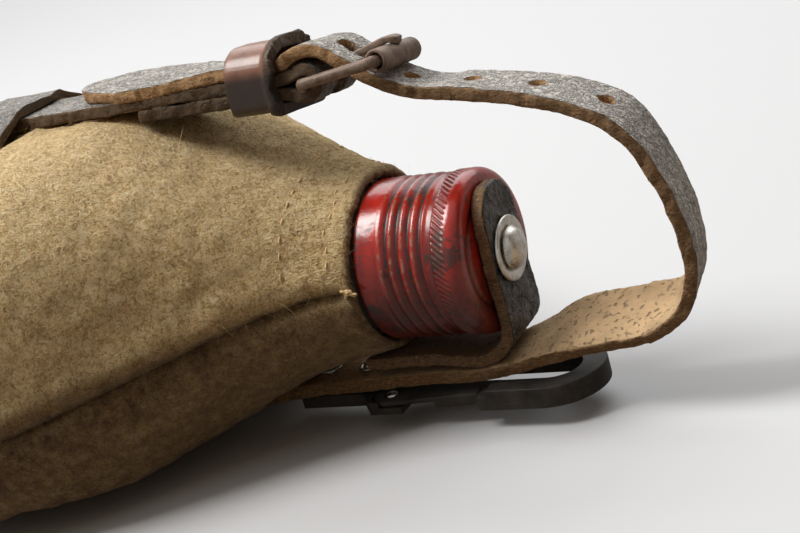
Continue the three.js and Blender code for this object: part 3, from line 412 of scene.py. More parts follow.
def red_lacquer():
    finish, tree, shader = new_finish("red_lacquer", 0.34)
    where = own_space(tree)
    patches = noise(tree, where, 75, 4, 0.62, 0.4)
    chips = noise(tree, where, 900, 5, 0.7)
    smears = noise(tree, stretched(tree, where, (0, 0, 0), (220, 60, 60)), 1.0, 4)
    shade = blended(tree, ranged(tree, smears, 0.35, 0.7), (0.28, 0.014, 0.009), (0.66, 0.034, 0.020))
    shade = stained(tree, shade, chips, (0.58, 0.68), 0.6, (0.10, 0.02, 0.015))
    worn = ranged(tree, reckon(tree, "ADD", patches, reckon(tree, "MULTIPLY", chips, 0.3)), 0.70, 0.76)
    shade = blended(tree, reckon(tree, "MULTIPLY", worn, 0.85), shade, (0.045, 0.024, 0.018))
    ridge = reckon(tree, "MULTIPLY", carried(tree, "ridge"), ranged(tree, chips, 0.46, 0.56))
    shade = blended(tree, reckon(tree, "MULTIPLY", ridge, 0.75), shade, (0.46, 0.24, 0.15))
    # Grime and painted shade turn the grooves, the inside and the lower side near black.
    grime_and_shade = reckon(tree, "MULTIPLY", carried(tree, "groove"), ranged(tree, chips, 0.35, 0.65, 0.7, 1.15))
    shade = blended(tree, grime_and_shade, shade, (0.018, 0.010, 0.008))
    plug(tree, shader.inputs["Base Color"], shade)
    gloss = ranged(tree, reckon(tree, "ADD", worn, grime_and_shade), 0.0, 1.0, 0.16, 0.45)
    plug(tree, shader.inputs["Roughness"], gloss)
    shader.inputs["Coat Weight"].default_value = 0.35
    shader.inputs["Coat Roughness"].default_value = 0.08
    roughened(tree, shader, (patches, 0.12), (chips, 0.07))
    return finish


def cap_rings():
    """The cap from the rim of its rivet hole over the outside, round the skirt's edge and back inside."""
    rings, grooves, ridges = [], [], []

    def add(x, radius, groove=0.0, ridge=0.0):
        radius = np.broadcast_to(radius, cap_angles.shape)
        rings.append(round_ring(x, radius, cap_angles))
        grooves.append(np.broadcast_to(groove, cap_angles.shape))
        ridges.append(np.broadcast_to(ridge, cap_angles.shape))

    # Each ring's third number is its share of grime and painted shade: the end face's step, the grooves, the
    # inside.
    for x, radius, groove in [
        (CAP_END, CAP_HOLE, 0.4),
        (CAP_END, 9.0, 0.3),
        (CAP_END, 11.6, 0.35),
        (CAP_END - 0.05, 12.0, 0.6),
        (CAP_END - 0.3, 12.4, 0.9),
        (CAP_END - 0.32, 12.9, 0.7),
        (CAP_END - 0.1, 13.4, 0.2),
        (CAP_END, 13.9, 0.05),
        (CAP_END, 14.6, 0.0),
    ]:
        add(x, radius, groove)
    for turn in np.linspace(np.pi / 2, 0, 9)[1:]:
        add(KNURL_END + CAP_SHOULDER * math.sin(turn), CAP_KNURL - CAP_SHOULDER * (1 - math.cos(turn)))
    for x in np.linspace(KNURL_END - 0.15, KNURL_START + 0.1, 13):
        edge = smooth((KNURL_END - 0.3 - x) / 0.8) * smooth((x - KNURL_START) / 0.3)
        phase = NOTCHES * (cap_angles - NOTCH_SLANT * (x - KNURL_START) / KNURL_WIDTH * 2)
        notch = np.clip(1.3 * np.cos(phase) - 0.25, 0, 1) * edge
        add(x, CAP_KNURL - NOTCH_DEPTH * notch, 0.75 * notch, 0.3 * (1 - notch) * edge)
    add(KNURL_START - 0.1, CAP_KNURL - 0.35, 0.2)
    add(KNURL_START - 0.35, CAP_WAIST + 0.1, 0.85)
    for x in np.linspace(KNURL_START - 0.6, THREAD_END + 0.25, 4):
        add(x, CAP_WAIST, 0.5)
    for x in np.linspace(THREAD_END, THREAD_START, 62):
        share = thread_share(x)
        wave = thread_wave(x, cap_angles)
        plain = CAP_SKIRT if x < (THREAD_START + THREAD_END) / 2 else CAP_WAIST
        groove = share * smooth((-0.1 - wave) / 0.8)
        ridge = share * smooth((wave - 0.6) / 0.4)
        add(x, mix(plain, CAP_THREAD, share) + share * THREAD_DEPTH * wave, groove, ridge)
    for x, drop in [(4.6, 0.0), (3.0, 0.02), (1.4, 0.05), (0.75, 0.08), (0.5, 0.2)]:
        add(x, CAP_SKIRT - drop, 0.15 if x < 1 else 0.0)
    add(CAP_SKIRT_EDGE, CAP_SKIRT - 0.4, 0.5)
    add(CAP_SKIRT_EDGE, CAP_SKIRT - CAP_SHEET, 0.6)
    inside = CAP_THREAD - CAP_SHEET
    for x in np.linspace(THREAD_START, THREAD_END, 40):
        share = thread_share(x)
        plain = CAP_SKIRT - CAP_SHEET if x < (THREAD_START + THREAD_END) / 2 else inside
        add(x, mix(plain, inside, share) + share * THREAD_DEPTH * thread_wave(x, cap_angles), 0.5)
    end_face = CAP_END - CAP_SHEET
    for x, radius in [(CAP_END - 2.1, inside), (end_face, inside - 1.2), (end_face, CAP_HOLE)]:
        add(x, radius, 0.5)
    return rings, grooves, ridges


rings, grooves, ridges = cap_rings()
cap_points = np.concatenate(rings)
cap_faces = grid_faces(len(rings), CAP_COLUMNS, close_rows=True, close_columns=True)
cap = add_piece("screw_cap", cap_points, cap_faces, red_lacquer(), "cap", "red_lacquer")
# Painted shade: the cap darkens towards its lower side.
painted_shade_below = 0.8 * smooth((8 - cap_points[:, 2]) / 16)
carry(cap, "groove", np.maximum(np.concatenate(grooves), painted_shade_below))
carry(cap, "ridge", np.concatenate(ridges))
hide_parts("cap_shell")


# Gasket
# A flat ring cut from black rubber sheet. It lies loose in the cap's end and seals on the bottle's lip
# when the cap is screwed down.
GASKET = [(21.8, 6.4), (21.8, 15.1), (24.2, 15.1), (24.2, 6.4)]


def perished_rubber():
    finish, tree, shader = new_finish("perished_rubber", 0.85)
    where = own_space(tree)
    bloom = noise(tree, where, 300, 5)
    plug(tree, shader.inputs["Base Color"], blended(tree, bloom, (0.014, 0.012, 0.011), (0.05, 0.046, 0.042)))
    roughened(tree, shader, (bloom, 0.08))
    return finish


def seated(points, matrix):
    turn = np.array(matrix)
    return points @ turn[:3, :3].T + turn[:3, 3]


def turned_piece(name, profile, finish, body, slot, sides=48, seat=None, close=True):
    """A turned piece from its (place, radius) profile, with its axis along X before it is seated."""
    angles = full_turn(sides)
    points = np.concatenate([round_ring(x, radius, angles) for x, radius in profile])
    if seat is not None:
        points = seated(points, seat)
    faces = grid_faces(len(profile), sides, close_rows=close, close_columns=True)
    return add_piece(name, points, faces, finish, body, slot, weld=0.001)


gasket = turned_piece("cap_seal", GASKET, perished_rubber(), "cap", "rubber")
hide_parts("cap_gasket")


# Cap rivet
# A nickelled rivet with a domed head on a wide washer holds the leather tab to the cap's end. Inside the
# cap it is closed over a smaller washer.
TAB_INNER = CAP_END + 0.3
LEATHER = 2.8
WASHER_START = TAB_INNER + LEATHER + 0.15
HEAD_START = WASHER_START + 0.95
HEAD_HEIGHT = 2.6
HEAD_RADIUS = 4.6
SHANK_RADIUS = 2.0
WASHER_HOLE = 2.3
WASHER_SHEET = 0.8
RIVET_END = 23.25
BURR_START = 23.4


def worn_nickel():
    finish, tree, shader = new_finish("worn_nickel", 0.3, 1.0)
    where = own_space(tree)
    tarnish = noise(tree, where, 420, 5, 0.65)
    spots = noise(tree, where, 1900, 3)
    shade = blended(tree, ranged(tree, tarnish, 0.35, 0.7), (0.46, 0.43, 0.38), (0.78, 0.76, 0.72))
    shade = stained(tree, shade, spots, (0.6, 0.7), 0.5, (0.12, 0.09, 0.07))
    plug(tree, shader.inputs["Base Color"], shade)
    plug(tree, shader.inputs["Roughness"], ranged(tree, tarnish, 0.3, 0.7, 0.22, 0.46))
    roughened(tree, shader, (tarnish, 0.05), (spots, 0.02))
    return finish


nickel = worn_nickel()
head_turns = np.linspace(0, np.pi / 2 - 0.12, 12)
RIVET = [
    *[(HEAD_START + HEAD_HEIGHT * math.cos(a), HEAD_RADIUS * math.sin(a)) for a in head_turns],
    (HEAD_START + 0.22, 4.75),
    (HEAD_START + 0.12, 4.85),
    (HEAD_START, 4.7),
    (HEAD_START, SHANK_RADIUS),
    (RIVET_END, SHANK_RADIUS),
    (RIVET_END, 3.2),
    (RIVET_END - 0.7, 2.8),
    (RIVET_END - 0.9, 0.0),
]
rivet = turned_piece("tab_rivet", RIVET, nickel, "cap_holder", "bright_steel", close=False)
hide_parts("cap_rivet")
washer_top = WASHER_START + WASHER_SHEET
WASHER = [
    (WASHER_START, WASHER_HOLE),
    (WASHER_START, 6.9),
    (WASHER_START + 0.2, 7.2),
    (washer_top - 0.25, 7.2),
    (washer_top, 6.9),
    (washer_top + 0.05, 6.2),
    (washer_top - 0.08, 5.3),
    (washer_top - 0.3, 4.9),
    (washer_top - 0.3, 4.4),
    (washer_top - 0.1, 4.0),
    (washer_top - 0.1, WASHER_HOLE),
]
tab_washer = turned_piece("tab_washer", WASHER, nickel, "cap_holder", "bright_steel", sides=64)
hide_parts("cap_rivet_washer")
burr_steps = ((0.0, WASHER_HOLE), (0.0, 5.0), (0.2, 5.2), (0.6, 5.2), (0.8, 5.0), (0.8, WASHER_HOLE))
BURR = [(BURR_START + step, radius) for step, radius in burr_steps]
burr = turned_piece("tab_burr", BURR, nickel, "cap_holder", "bright_steel")
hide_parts("cap_rivet_burr")


# Cap tab
# A short leather strap riveted to the cap's end with its black grain side out. It bends round the cap's
# edge and runs back under the neck, where its end is caught between the felt and the carrying strap.
STRAP_WIDTH = 16.0
HALF_LEATHER = LEATHER / 2
TAB_FACE = TAB_INNER + HALF_LEATHER
TAB_UNDER = -(CAP_KNURL + 1.9 + HALF_LEATHER)
CLEARANCE = 0.3


def under_felt(below):
    """Height of a strap's middle where it lies against the back of the felt."""
    size = body_sizes(below, 0)
    edge = STRAP_WIDTH / 2 / size["half_width"]
    return float(min(back_height(size, 0.0), back_height(size, edge)) - CLEARANCE - HALF_LEATHER)


def unit(vectors):
    return vectors / np.linalg.norm(vectors, axis=-1, keepdims=True)


def leather_path(stations, steps):
    """Places and directions along a strip through stations of x, z, lean, yaw and y."""
    rows = np.array([[*station, *[0.0] * (5 - len(station))] for station in stations])
    points = rows[:, [0, 4, 1]]
    ends = np.concatenate([[2 * points[0] - points[1]], points, [2 * points[-1] - points[-2]]])
    at, along, turns = [], [], []
    for k in range(len(points) - 1):
        p0, p1, p2, p3 = ends[k : k + 4]
        d0, d1, d2 = (math.sqrt(np.linalg.norm(b - a)) for a, b in ((p0, p1), (p1, p2), (p2, p3)))
        t1 = ((p1 - p0) / d0 - (p2 - p0) / (d0 + d1) + (p2 - p1) / d1) * d1
        t2 = ((p2 - p1) / d1 - (p3 - p1) / (d1 + d2) + (p3 - p2) / d2) * d1
        c2, c3 = -3 * p1 + 3 * p2 - 2 * t1 - t2, 2 * p1 - 2 * p2 + t1 + t2
        count = max(2, round(steps * np.linalg.norm(p2 - p1)))
        last = k == len(points) - 2
        for t in np.linspace(0, 1, count, endpoint=False).tolist() + [1.0] * last:
            at.append(p1 + t1 * t + c2 * t**2 + c3 * t**3)
            along.append(t1 + 2 * c2 * t + 3 * c3 * t**2)
            turns.append(np.radians(mix(rows[k, 2:4], rows[k + 1, 2:4], smooth(t))))
    at, along, turns = map(np.array, (at, along, turns))
    along = unit(along)
    lean, yaw = turns.T
    across = np.stack([np.sin(yaw), np.cos(yaw) * np.cos(lean), np.sin(lean)], -1)
    across = unit(across - along * np.sum(across * along, 1, keepdims=True))
    return {"at": at, "along": along, "across": across, "out": np.cross(along, across)}


def strip_outline(width, thickness, corner, count=13):
    """Points round a strip's section: across, out, share of flesh side, share of cut edge."""
    half, deep = width / 2, thickness / 2
    flat = np.linspace(half - corner, -(half - corner), count)

    def rounded(side, face, angles, flat_angle):
        """The points of one corner, from the strip's flat face to its cut edge or back."""
        points = []
        for angle in angles:
            turn = math.radians(angle)
            across = side * (half - corner) + corner * math.cos(turn)
            out = face * (deep - corner) + corner * math.sin(turn)
            points.append((across, out, float(face < 0), smooth(abs(angle - flat_angle) / 70)))
        return points

    rows = [
        *[(across, deep, 0.0, 0.0) for across in flat],
        *rounded(-1, 1, (120, 150, 180), 90),
        (-half, 0.0, 0.5, 1.0),
        *rounded(-1, -1, (180, 210, 240), 270),
        *[(across, -deep, 1.0, 0.0) for across in flat[::-1]],
        *rounded(1, -1, (300, 330, 360), 270),
        (half, 0.0, 0.5, 1.0),
        *rounded(1, 1, (0, 30, 60), 90),
    ]
    return np.array(rows, float)


def lumps(points, length, seed, waves=22):
    """Smooth unevenness over points, about -1 to 1, with lumps of about the given length."""
    draw = np.random.default_rng(seed)
    heading = unit(draw.normal(size=(waves, 3)))
    pace = 2 * np.pi / length * draw.uniform(0.6, 1.5, (waves, 1))
    phase = draw.uniform(0, 2 * np.pi, waves)
    flat = np.asarray(points).reshape(-1, 3)
    total = np.cos(flat @ (heading * pace).T + phase).sum(1) / math.sqrt(waves / 2)
    return total.reshape(np.asarray(points).shape[:-1])


def leather_strip(name, path, outline, widths, soil_and_shade, finish, body, slot, seed, punches=()):
    """A strip of leather along a path, with an uneven face and torn, fibrous cut edges."""
    across, out, flesh, edge = outline.T
    at, sideways, outward = path["at"], path["across"], path["out"]
    ones = np.ones(len(at))[:, None]
    reach = across[None] * widths[:, None]
    points = at[:, None] + sideways[:, None] * reach[..., None] + outward[:, None] * (ones * out)[..., None]
    ragged = 0.16 * lumps(points, 1.6, seed) + 0.22 * lumps(points, 5.0, seed + 1)
    points = points + sideways[:, None] * (np.sign(across) * edge * ragged)[..., None]
    swell = 0.05 * lumps(points, 2.2, seed + 2) + 0.08 * lumps(points, 9.0, seed + 3)
    points = points + outward[:, None] * (swell * (1 - edge))[..., None]
    rows, columns = points.shape[:2]
    piece = add_piece(name, points, capped_faces(rows, columns), finish, body, slot)
    flesh, edge = (ones * flesh).ravel(), (ones * edge).ravel()
    soil_and_shade = np.broadcast_to(soil_and_shade, (rows, columns)).ravel()
    if punches:
        for together in punches:
            cut_away(piece, together)
        whole = kdtree.KDTree(rows * columns)
        for i, point in enumerate(points.reshape(-1, 3) * MM + NECK):
            whole.insert(point, i)
        whole.balance()
        found = [whole.find(vertex.co) for vertex in piece.data.vertices]
        nearest = np.array([index for place, index, far in found])
        punched = np.array([far > 0.1 * MM for place, index, far in found])
        flesh, soil_and_shade = flesh[nearest], soil_and_shade[nearest]
        edge = np.where(punched, 0.7, edge[nearest])
        piece.data.shade_smooth()
    carry(piece, "flesh", flesh)
    carry(piece, "edge", edge)
    carry(piece, "soil_and_shade", soil_and_shade)
    return piece


def leather_finish(name, grain, crack, flesh, edge, sheen_roughness, crease, dents):
    """Cracked grain side, pitted flesh side and fibrous cut edges of one hide."""
    finish, tree, shader = new_finish(name, 0.7)
    where = own_space(tree)
    warp = noise(tree, where, 260, 4)
    cracks = None
    for scale in (crease, 2.3 * crease):
        folds = reckon(tree, "SUBTRACT", noise(tree, where, scale, 3, 0.55, 0.5), 0.5)
        open_crack = ranged(tree, reckon(tree, "ABSOLUTE", folds, 0.0), 0.0, 0.05)
        cracks = open_crack if cracks is None else reckon(tree, "MULTIPLY", cracks, open_crack)
    pores = noise(tree, where, 1500, 4, 0.65)
    blotch = noise(tree, where, 130, 5, 0.6)
    dust = noise(tree, where, 2300, 2)
    pits = ranged(tree, noise(tree, where, 900, 1, 0.4), 0.28, 0.42)
    fibre = noise(tree, stretched(tree, where, (0.4, 0.9, 0.3), (700, 2600, 2600)), 1.0, 4, 0.7)

    top = blended(tree, ranged(tree, blotch, 0.3, 0.7), toned(grain, 0.72), toned(grain, 1.2))
    top = blended(tree, ranged(tree, cracks, 0.0, 1.0, 0.75, 0.0), top, crack)
    top = stained(tree, top, pores, (0.45, 0.33), 0.5, crack)
    dented = ranged(tree, noise(tree, where, 1.5 * crease, 2, 0.5, 0.3), 0.36, 0.58)
    top = stained(tree, top, dented, (0.6, 0.0), min(0.8, dents), crack)
    top = stained(tree, top, dust, (0.56, 0.7), 0.6, toned(grain, 1.9))
    inner = blended(tree, ranged(tree, blotch, 0.3, 0.7), toned(flesh, 0.7), toned(flesh, 1.15))
    inner = blended(tree, pits, toned(flesh, 0.5), inner)
    rim = blended(tree, ranged(tree, fibre, 0.35, 0.65), toned(edge, 0.45), toned(edge, 1.35))
    shade = blended(tree, carried(tree, "flesh"), top, inner)
    ragged = reckon(tree, "ADD", carried(tree, "edge"), reckon(tree, "MULTIPLY", warp, 0.5))
    torn = ranged(tree, ragged, 0.5, 0.85)
    shade = blended(tree, torn, shade, rim)
    # Soil and painted shade, carried by each piece, darken the leather towards near black.
    soiled_and_shaded = reckon(tree, "MULTIPLY", carried(tree, "soil_and_shade"), 0.85)
    plug(tree, shader.inputs["Base Color"], blended(tree, soiled_and_shaded, shade, toned(crack, 0.3)))
    matt = reckon(tree, "MAXIMUM", carried(tree, "flesh"), torn)
    plug(tree, shader.inputs["Roughness"], ranged(tree, matt, 0.0, 1.0, sheen_roughness, 0.95))
    outer = reckon(tree, "MULTIPLY", cracks, ranged(tree, matt, 0.0, 1.0, 1.0, 0.0))
    hollow = reckon(tree, "MULTIPLY", pits, carried(tree, "flesh"))
    pressed = reckon(tree, "MULTIPLY", dented, ranged(tree, matt, 0.0, 1.0, 1.0, 0.0))
    roughened(tree, shader, (pressed, dents), (outer, 0.22), (hollow, 0.25), (fibre, 0.12), (pores, 0.1))
    return finish


TAB_STATIONS = [
    (TAB_FACE, 15),
    (TAB_FACE, 5),
    (TAB_FACE, -7),
    (TAB_FACE + 0.4, -11.5, -2),
    (TAB_FACE - 0.4, -17.6, 3),
    (TAB_FACE - 6, TAB_UNDER - 0.4, 5),
    (8, TAB_UNDER, 4),
    (-2, under_felt(4), 2),
    (-9.5, under_felt(9.5)),
]


def run_along(path):
    steps = np.linalg.norm(np.diff(path["at"], axis=0), axis=1)
    return np.concatenate([[0], np.cumsum(steps)])


tab_path = leather_path(TAB_STATIONS, 2.0)
tab_run = run_along(tab_path)
# Painted shade: the tab and its cut edges darken from partway down the cap's end and under the neck.
tab_painted_shade = 0.3 * smooth((tab_run - 12) / 8)
tab_widths = np.sqrt(1 - np.clip(1 - (tab_run + 0.3) / (STRAP_WIDTH / 2 + 0.3), 0, 1) ** 2)
black_leather = leather_finish(
    "black_leather",
    grain=(0.13, 0.125, 0.12),
    crack=(0.010, 0.009, 0.009),
    flesh=(0.22, 0.13, 0.07),
    edge=(0.30, 0.195, 0.11),
    sheen_roughness=0.4,
    crease=210.0,
    dents=1.1,
)
tab = leather_strip(
    "cap_strap",
    tab_path,
    strip_outline(STRAP_WIDTH, LEATHER, 0.5),
    tab_widths,
    tab_painted_shade[:, None],
    black_leather,
    None,
    "grey_leather",
    seed=11,
)
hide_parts("cap_tab")


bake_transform(tab)


# Felt cover
# Two panels of thick olive wool felt, sewn together along the sides with the seam turned in, and open at
# the neck. The felt is matted and mottled, and loose hairs lie on it. It is dirty at the rim, darkened along
# the seam by dirt and painted shade, and darkened underneath by painted shade.
BAND_PLACE = 93.0
BAND_WIDTH = 18.0
BAND_LEATHER = 2.0
FELT_COLUMNS = 150
RIM_ROUND = 1.4
SHOULDER_SLACK = 5.6
SHOULDER_PLACE = 25.0
SEAM_TUCK = 1.8
BELLY_ROW = 40
HAIRS = {"front": 13000, "back": 5000}


def felt_grid(front):
    """Points of one panel's outer face, from the rim over the base to the seam below it."""
    angles = np.linspace(0, np.pi, FELT_COLUMNS) if front else np.linspace(2 * np.pi, np.pi, FELT_COLUMNS)
    places = [*np.linspace(0, RIM_ROUND, 5), *np.linspace(2.2, BASE_START, 165)]
    places += (BASE_START + BASE_ROUND * np.sin(np.linspace(0, np.pi / 2, 26)[1:])).tolist()
    rows = []
    for place in places:
        beside = abs(place - BAND_PLACE) - BAND_WIDTH / 2
        press = (BAND_LEATHER + CLEARANCE) * smooth((1.6 - beside) / 2.0)
        press -= 0.5 * math.exp(-((beside - 3.5) / 2.5) ** 2)
        into_rim = max(0.0, 1 - place / RIM_ROUND)
        press += RIM_ROUND * (1 - math.sqrt(1 - into_rim**2))
        rows.append(section(place, press, angles))
    edge = rows[-1]
    seam_height = edge[0, 2]
    to_seam = np.linspace(0, 1, 16)[1:]
    for share in to_seam:
        inner = edge.copy()
        inner[:, 2] = mix(edge[:, 2], seam_height, share)
        inner[:, 1] *= 1 - 0.04 * share
        rows.append(inner)
    return np.array(rows), np.array(places + [BODY_LENGTH] * len(to_seam))


def outward_of(grid, front):
    """Directions out of a panel's face at each of its points."""
    down = np.gradient(grid, axis=0)
    over = np.gradient(grid, axis=1)
    normal = np.cross(down, over)
    normal /= np.linalg.norm(normal, axis=-1, keepdims=True) + 1e-9
    middle = normal[BELLY_ROW, FELT_COLUMNS // 2, 2]
    return normal if (middle > 0) == front else -normal


def far_front(grid):
    """How near points lie to the far shoulder, where the felt is slack over the bottle."""
    side = np.arctan2(grid[..., 2], grid[..., 1])
    return np.exp(-(((side - 1.0) / 0.5) ** 2))


def felt_panel(front):
    grid, places = felt_grid(front)
    normal = outward_of(grid, front)
    steps = np.linalg.norm(np.diff(grid, axis=1), axis=-1)
    run = np.concatenate([np.zeros((len(grid), 1)), np.cumsum(steps, 1)], 1)
    from_seam = np.minimum(run, run[:, -1:] - run)
    tuck = SEAM_TUCK * np.exp(-((from_seam / 1.4) ** 2))
    if front:
        tuck = tuck - 0.9 * np.exp(-(((from_seam - 4.5) / 3.4) ** 2))
    else:
        tuck = tuck + 0.5 * np.exp(-((from_seam / 9.0) ** 2))
    tuck = tuck * smooth((places - 0.5) / 6)[:, None]
    seed = 31 if front else 41
    matting = 0.07 * lumps(grid, 3.4, seed)
    matting = matting + 0.1 * lumps(grid, 9, seed + 1) + 0.35 * lumps(grid, 34, seed + 2)
    calm = smooth(places / 6)[:, None] * 0.8 + 0.2
    fullness = SHOULDER_SLACK * np.exp(-(((places - SHOULDER_PLACE) / 21) ** 2))[:, None] * far_front(grid)
    points = grid + normal * (matting * calm - tuck + fullness)[..., None]
    frayed = 0.1 * lumps(grid, 2.4, seed + 3) + 0.2 * lumps(grid, 9, seed + 4)
    points[..., 0] += np.exp(-places / 1.6)[:, None] * frayed
    points[..., 2] = np.maximum(points[..., 2], FLOOR)
    dirt_and_shade = 0.8 * np.exp(-places / 0.8)[:, None] + 0.08 * np.exp(-places / 9.0)[:, None]
    # Dirt and painted shade darken the seam's groove and, further from the neck, a wider band along the seam.
    dirt_and_shade = dirt_and_shade + 0.8 * np.exp(-((from_seam / 1.3) ** 2))
    seam_dirt_and_shade = np.exp(-((from_seam / (1.5 + 0.08 * places[:, None])) ** 2))
    dirt_and_shade = dirt_and_shade + 0.95 * seam_dirt_and_shade * smooth((places - 12) / 40)[:, None]
    # Painted shade: the back panel's underside and the lowest parts of both panels are darkened.
    height = points[..., 2]
    below = 0.72 * smooth((2 - height) / 8) * (not front) + 0.1 * smooth((8 - height) / 20)
    return points, normal, np.clip(dirt_and_shade + below, 0, 1), places


def olive_felt():
    finish, tree, shader = new_finish("olive_felt", 0.95)
    where = own_space(tree)
    clouds = noise(tree, where, 42, 3, 0.55)
    mottle = noise(tree, where, 330, 5, 0.68)
    grains = noise(tree, where, 560, 4, 0.62, 1.2)
    specks = noise(tree, where, 1250, 3, 0.6, 1.5)
    strands = None
    for turn in ((0.3, 0.9, 0.2), (1.9, 0.4, 2.0), (2.6, 2.2, 1.1), (0.9, 2.9, 0.6)):
        one = noise(tree, stretched(tree, where, turn, (420, 2900, 2900)), 1.0, 2, 0.5, 0.6)
        strands = one if strands is None else reckon(tree, "MAXIMUM", strands, one)
    wool = ranged(tree, strands, 0.5, 0.7)
    shade = blended(tree, wool, (0.70, 0.46, 0.18), (0.98, 0.74, 0.38))
    shade = blended(tree, ranged(tree, mottle, 0.38, 0.55, 0.2, 0.0), shade, (0.56, 0.355, 0.14))
    shade = stained(tree, shade, grains, (0.5, 0.58), 0.75, (1.0, 0.80, 0.46))
    shade = stained(tree, shade, grains, (0.45, 0.38), 0.5, (0.30, 0.175, 0.065))
    shade = stained(tree, shade, specks, (0.54, 0.6), 0.75, (1.0, 0.85, 0.54))
    shade = stained(tree, shade, specks, (0.44, 0.38), 0.6, (0.31, 0.18, 0.068))
    shade = stained(tree, shade, clouds, (0.38, 0.68), 0.15, (0.66, 0.43, 0.175))
    # Dirt and painted shade, carried by the panels, darken the felt.
    grime_and_shade = reckon(tree, "MULTIPLY", carried(tree, "dirt_and_shade"), ranged(tree, mottle, 0.3, 0.7, 1.2, 0.6))
    shade = blended(tree, reckon(tree, "MULTIPLY", grime_and_shade, 0.85), shade, (0.10, 0.054, 0.031))
    plug(tree, shader.inputs["Base Color"], shade)
    shader.inputs["Sheen Weight"].default_value = 0.2
    shader.inputs["Sheen Roughness"].default_value = 0.5
    shader.inputs["Specular IOR Level"].default_value = 0.15
    roughened(tree, shader, (mottle, 0.45), (grains, 0.4), (wool, 0.2), (specks, 0.15))
    return finish


felt = olive_felt()
felt_faces = {}
for front, name in ((True, "front"), (False, "back")):
    points, normal, dirt_and_shade, places = felt_panel(front)
    panel = add_piece(
        f"felt_cover_{name}",
        points,
        grid_faces(*points.shape[:2])[:, :: -1 if front else 1],
        felt,
        "flask",
        "felt",
        outward=False,
    )
    carry(panel, "dirt_and_shade", dirt_and_shade)
    thick = panel.modifiers.new("felt_thickness", "SOLIDIFY")
    thick.thickness = (FELT - 0.6) * MM
    thick.offset = -1
    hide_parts(f"felt_{name}")
    felt_faces[name] = (points, normal, dirt_and_shade)
    felt_places = places


def loose_wool(points, normal, dirt_and_shade, count, seed):
    """Loose hairs that lie on a panel: thin bent strips, each a little way off the felt."""
    draw = np.random.default_rng(seed)
    rows, columns = points.shape[:2]
    down, over = np.diff(points, axis=0)[:, :-1], np.diff(points, axis=1)[:-1]
    area = np.linalg.norm(np.cross(down, over), axis=-1)
    pick = draw.choice(area.size, count, p=(area / area.sum()).ravel())
    r, c = pick // (columns - 1), pick % (columns - 1)
    up = normal[r, c]
    root = points[r, c] + 0.02 * up
    heading = unit(np.cross(up, draw.normal(size=(count, 3))))
    side = np.cross(up, heading)
    length = draw.gamma(4.0, 0.6, count)[:, None]
    length *= np.where(draw.random((count, 1)) < 0.012, 4.5, 1.0)
    rise = draw.uniform(0.02, 0.3, count)[:, None]
    bend = draw.normal(0, 0.35, count)[:, None]
    width = draw.uniform(0.02, 0.055, count)[:, None]
    strips = []
    for t, narrow in ((0.0, 0.8), (0.35, 1.0), (0.7, 0.8), (1.0, 0.25)):
        middle = root + length * (t * heading + bend * t * t * side + rise * t * (1.15 - t) * up)
        strips += [middle - side * width * narrow, middle + side * width * narrow]
    return np.stack(strips, 1), dirt_and_shade[r, c]


def wool_finish():
    finish, tree, shader = new_finish("loose_wool", 0.9)
    where = own_space(tree)
    tone = noise(tree, where, 700, 1)
    shade = blended(tree, ranged(tree, tone, 0.35, 0.65), (0.70, 0.50, 0.25), (1.0, 0.80, 0.50))
    # Each hair takes the dirt and painted shade of the felt at its root.
    grime_and_shade = reckon(tree, "MULTIPLY", carried(tree, "dirt_and_shade"), 0.8)
    plug(tree, shader.inputs["Base Color"], blended(tree, grime_and_shade, shade, (0.06, 0.04, 0.022)))
    return finish


wool = wool_finish()
WOOL_FACES = np.array([[0, 1, 3, 2], [2, 3, 5, 4], [4, 5, 7, 6]])
for name, seed in (("front", 51), ("back", 52)):
    count = HAIRS[name]
    hairs, hair_dirt_and_shade = loose_wool(*felt_faces[name], count, seed)
    hairs[..., 2] = np.maximum(hairs[..., 2], FLOOR)
    faces = (np.arange(count)[:, None, None] * 8 + WOOL_FACES).reshape(-1, 4)
    fuzz = add_piece(f"felt_hairs_{name}", hairs, faces, wool, "flask", "felt", outward=False)
    carry(fuzz, "dirt_and_shade", np.repeat(hair_dirt_and_shade[:, None], 8, 1))


# Felt stitching
# Two rows of pale linen stitches hem the front panel at the neck. The side seam is sewn with the same
# thread, which is knotted off at the rim.
STITCH_ROWS = (5.0, 14.5)
STITCH_SPACING = 3.7
STITCH_LENGTH = 1.7
THREAD = 0.24


def thread_tube(points, radius, sides=7):
    """A thread along a few points, with rounded ends."""
    points = np.asarray(points)
    fine = np.linspace(0, len(points) - 1, 4 * len(points))
    middle = np.stack([np.interp(fine, np.arange(len(points)), points[:, k]) for k in range(3)], -1)
    middle[1:-1] = (middle[:-2] + 2 * middle[1:-1] + middle[2:]) / 4
    along = unit(np.gradient(middle, axis=0))
    side = unit(np.cross(along, (0.31, 0.52, 0.79)))
    up = np.cross(along, side)
    from_end = np.minimum(np.arange(len(fine)), np.arange(len(fine))[::-1])
    narrow = np.minimum(1, 0.45 + from_end)[:, None, None]
    turns = full_turn(sides)
    ring = np.cos(turns)[:, None] * side[:, None] + np.sin(turns)[:, None] * up[:, None]
    return middle[:, None] + radius * narrow * ring


def linen_thread():
    finish, tree, shader = new_finish("linen_thread", 0.9)
    where = own_space(tree)
    twist = noise(tree, where, 2200, 2)
    plug(tree, shader.inputs["Base Color"], blended(tree, twist, (0.66, 0.43, 0.19), (1.0, 0.78, 0.45)))
    roughened(tree, shader, (twist, 0.1))
    return finish


def add_threads(name, tubes, finish):
    points, faces = [], []
    for tube in tubes:
        start = sum(len(done) for done in points)
        faces += [[start + i for i in face] for face in capped_faces(*tube.shape[:2])]
        points.append(tube.reshape(-1, 3))
    return add_piece(name, np.concatenate(points), faces, finish, "flask", "felt")


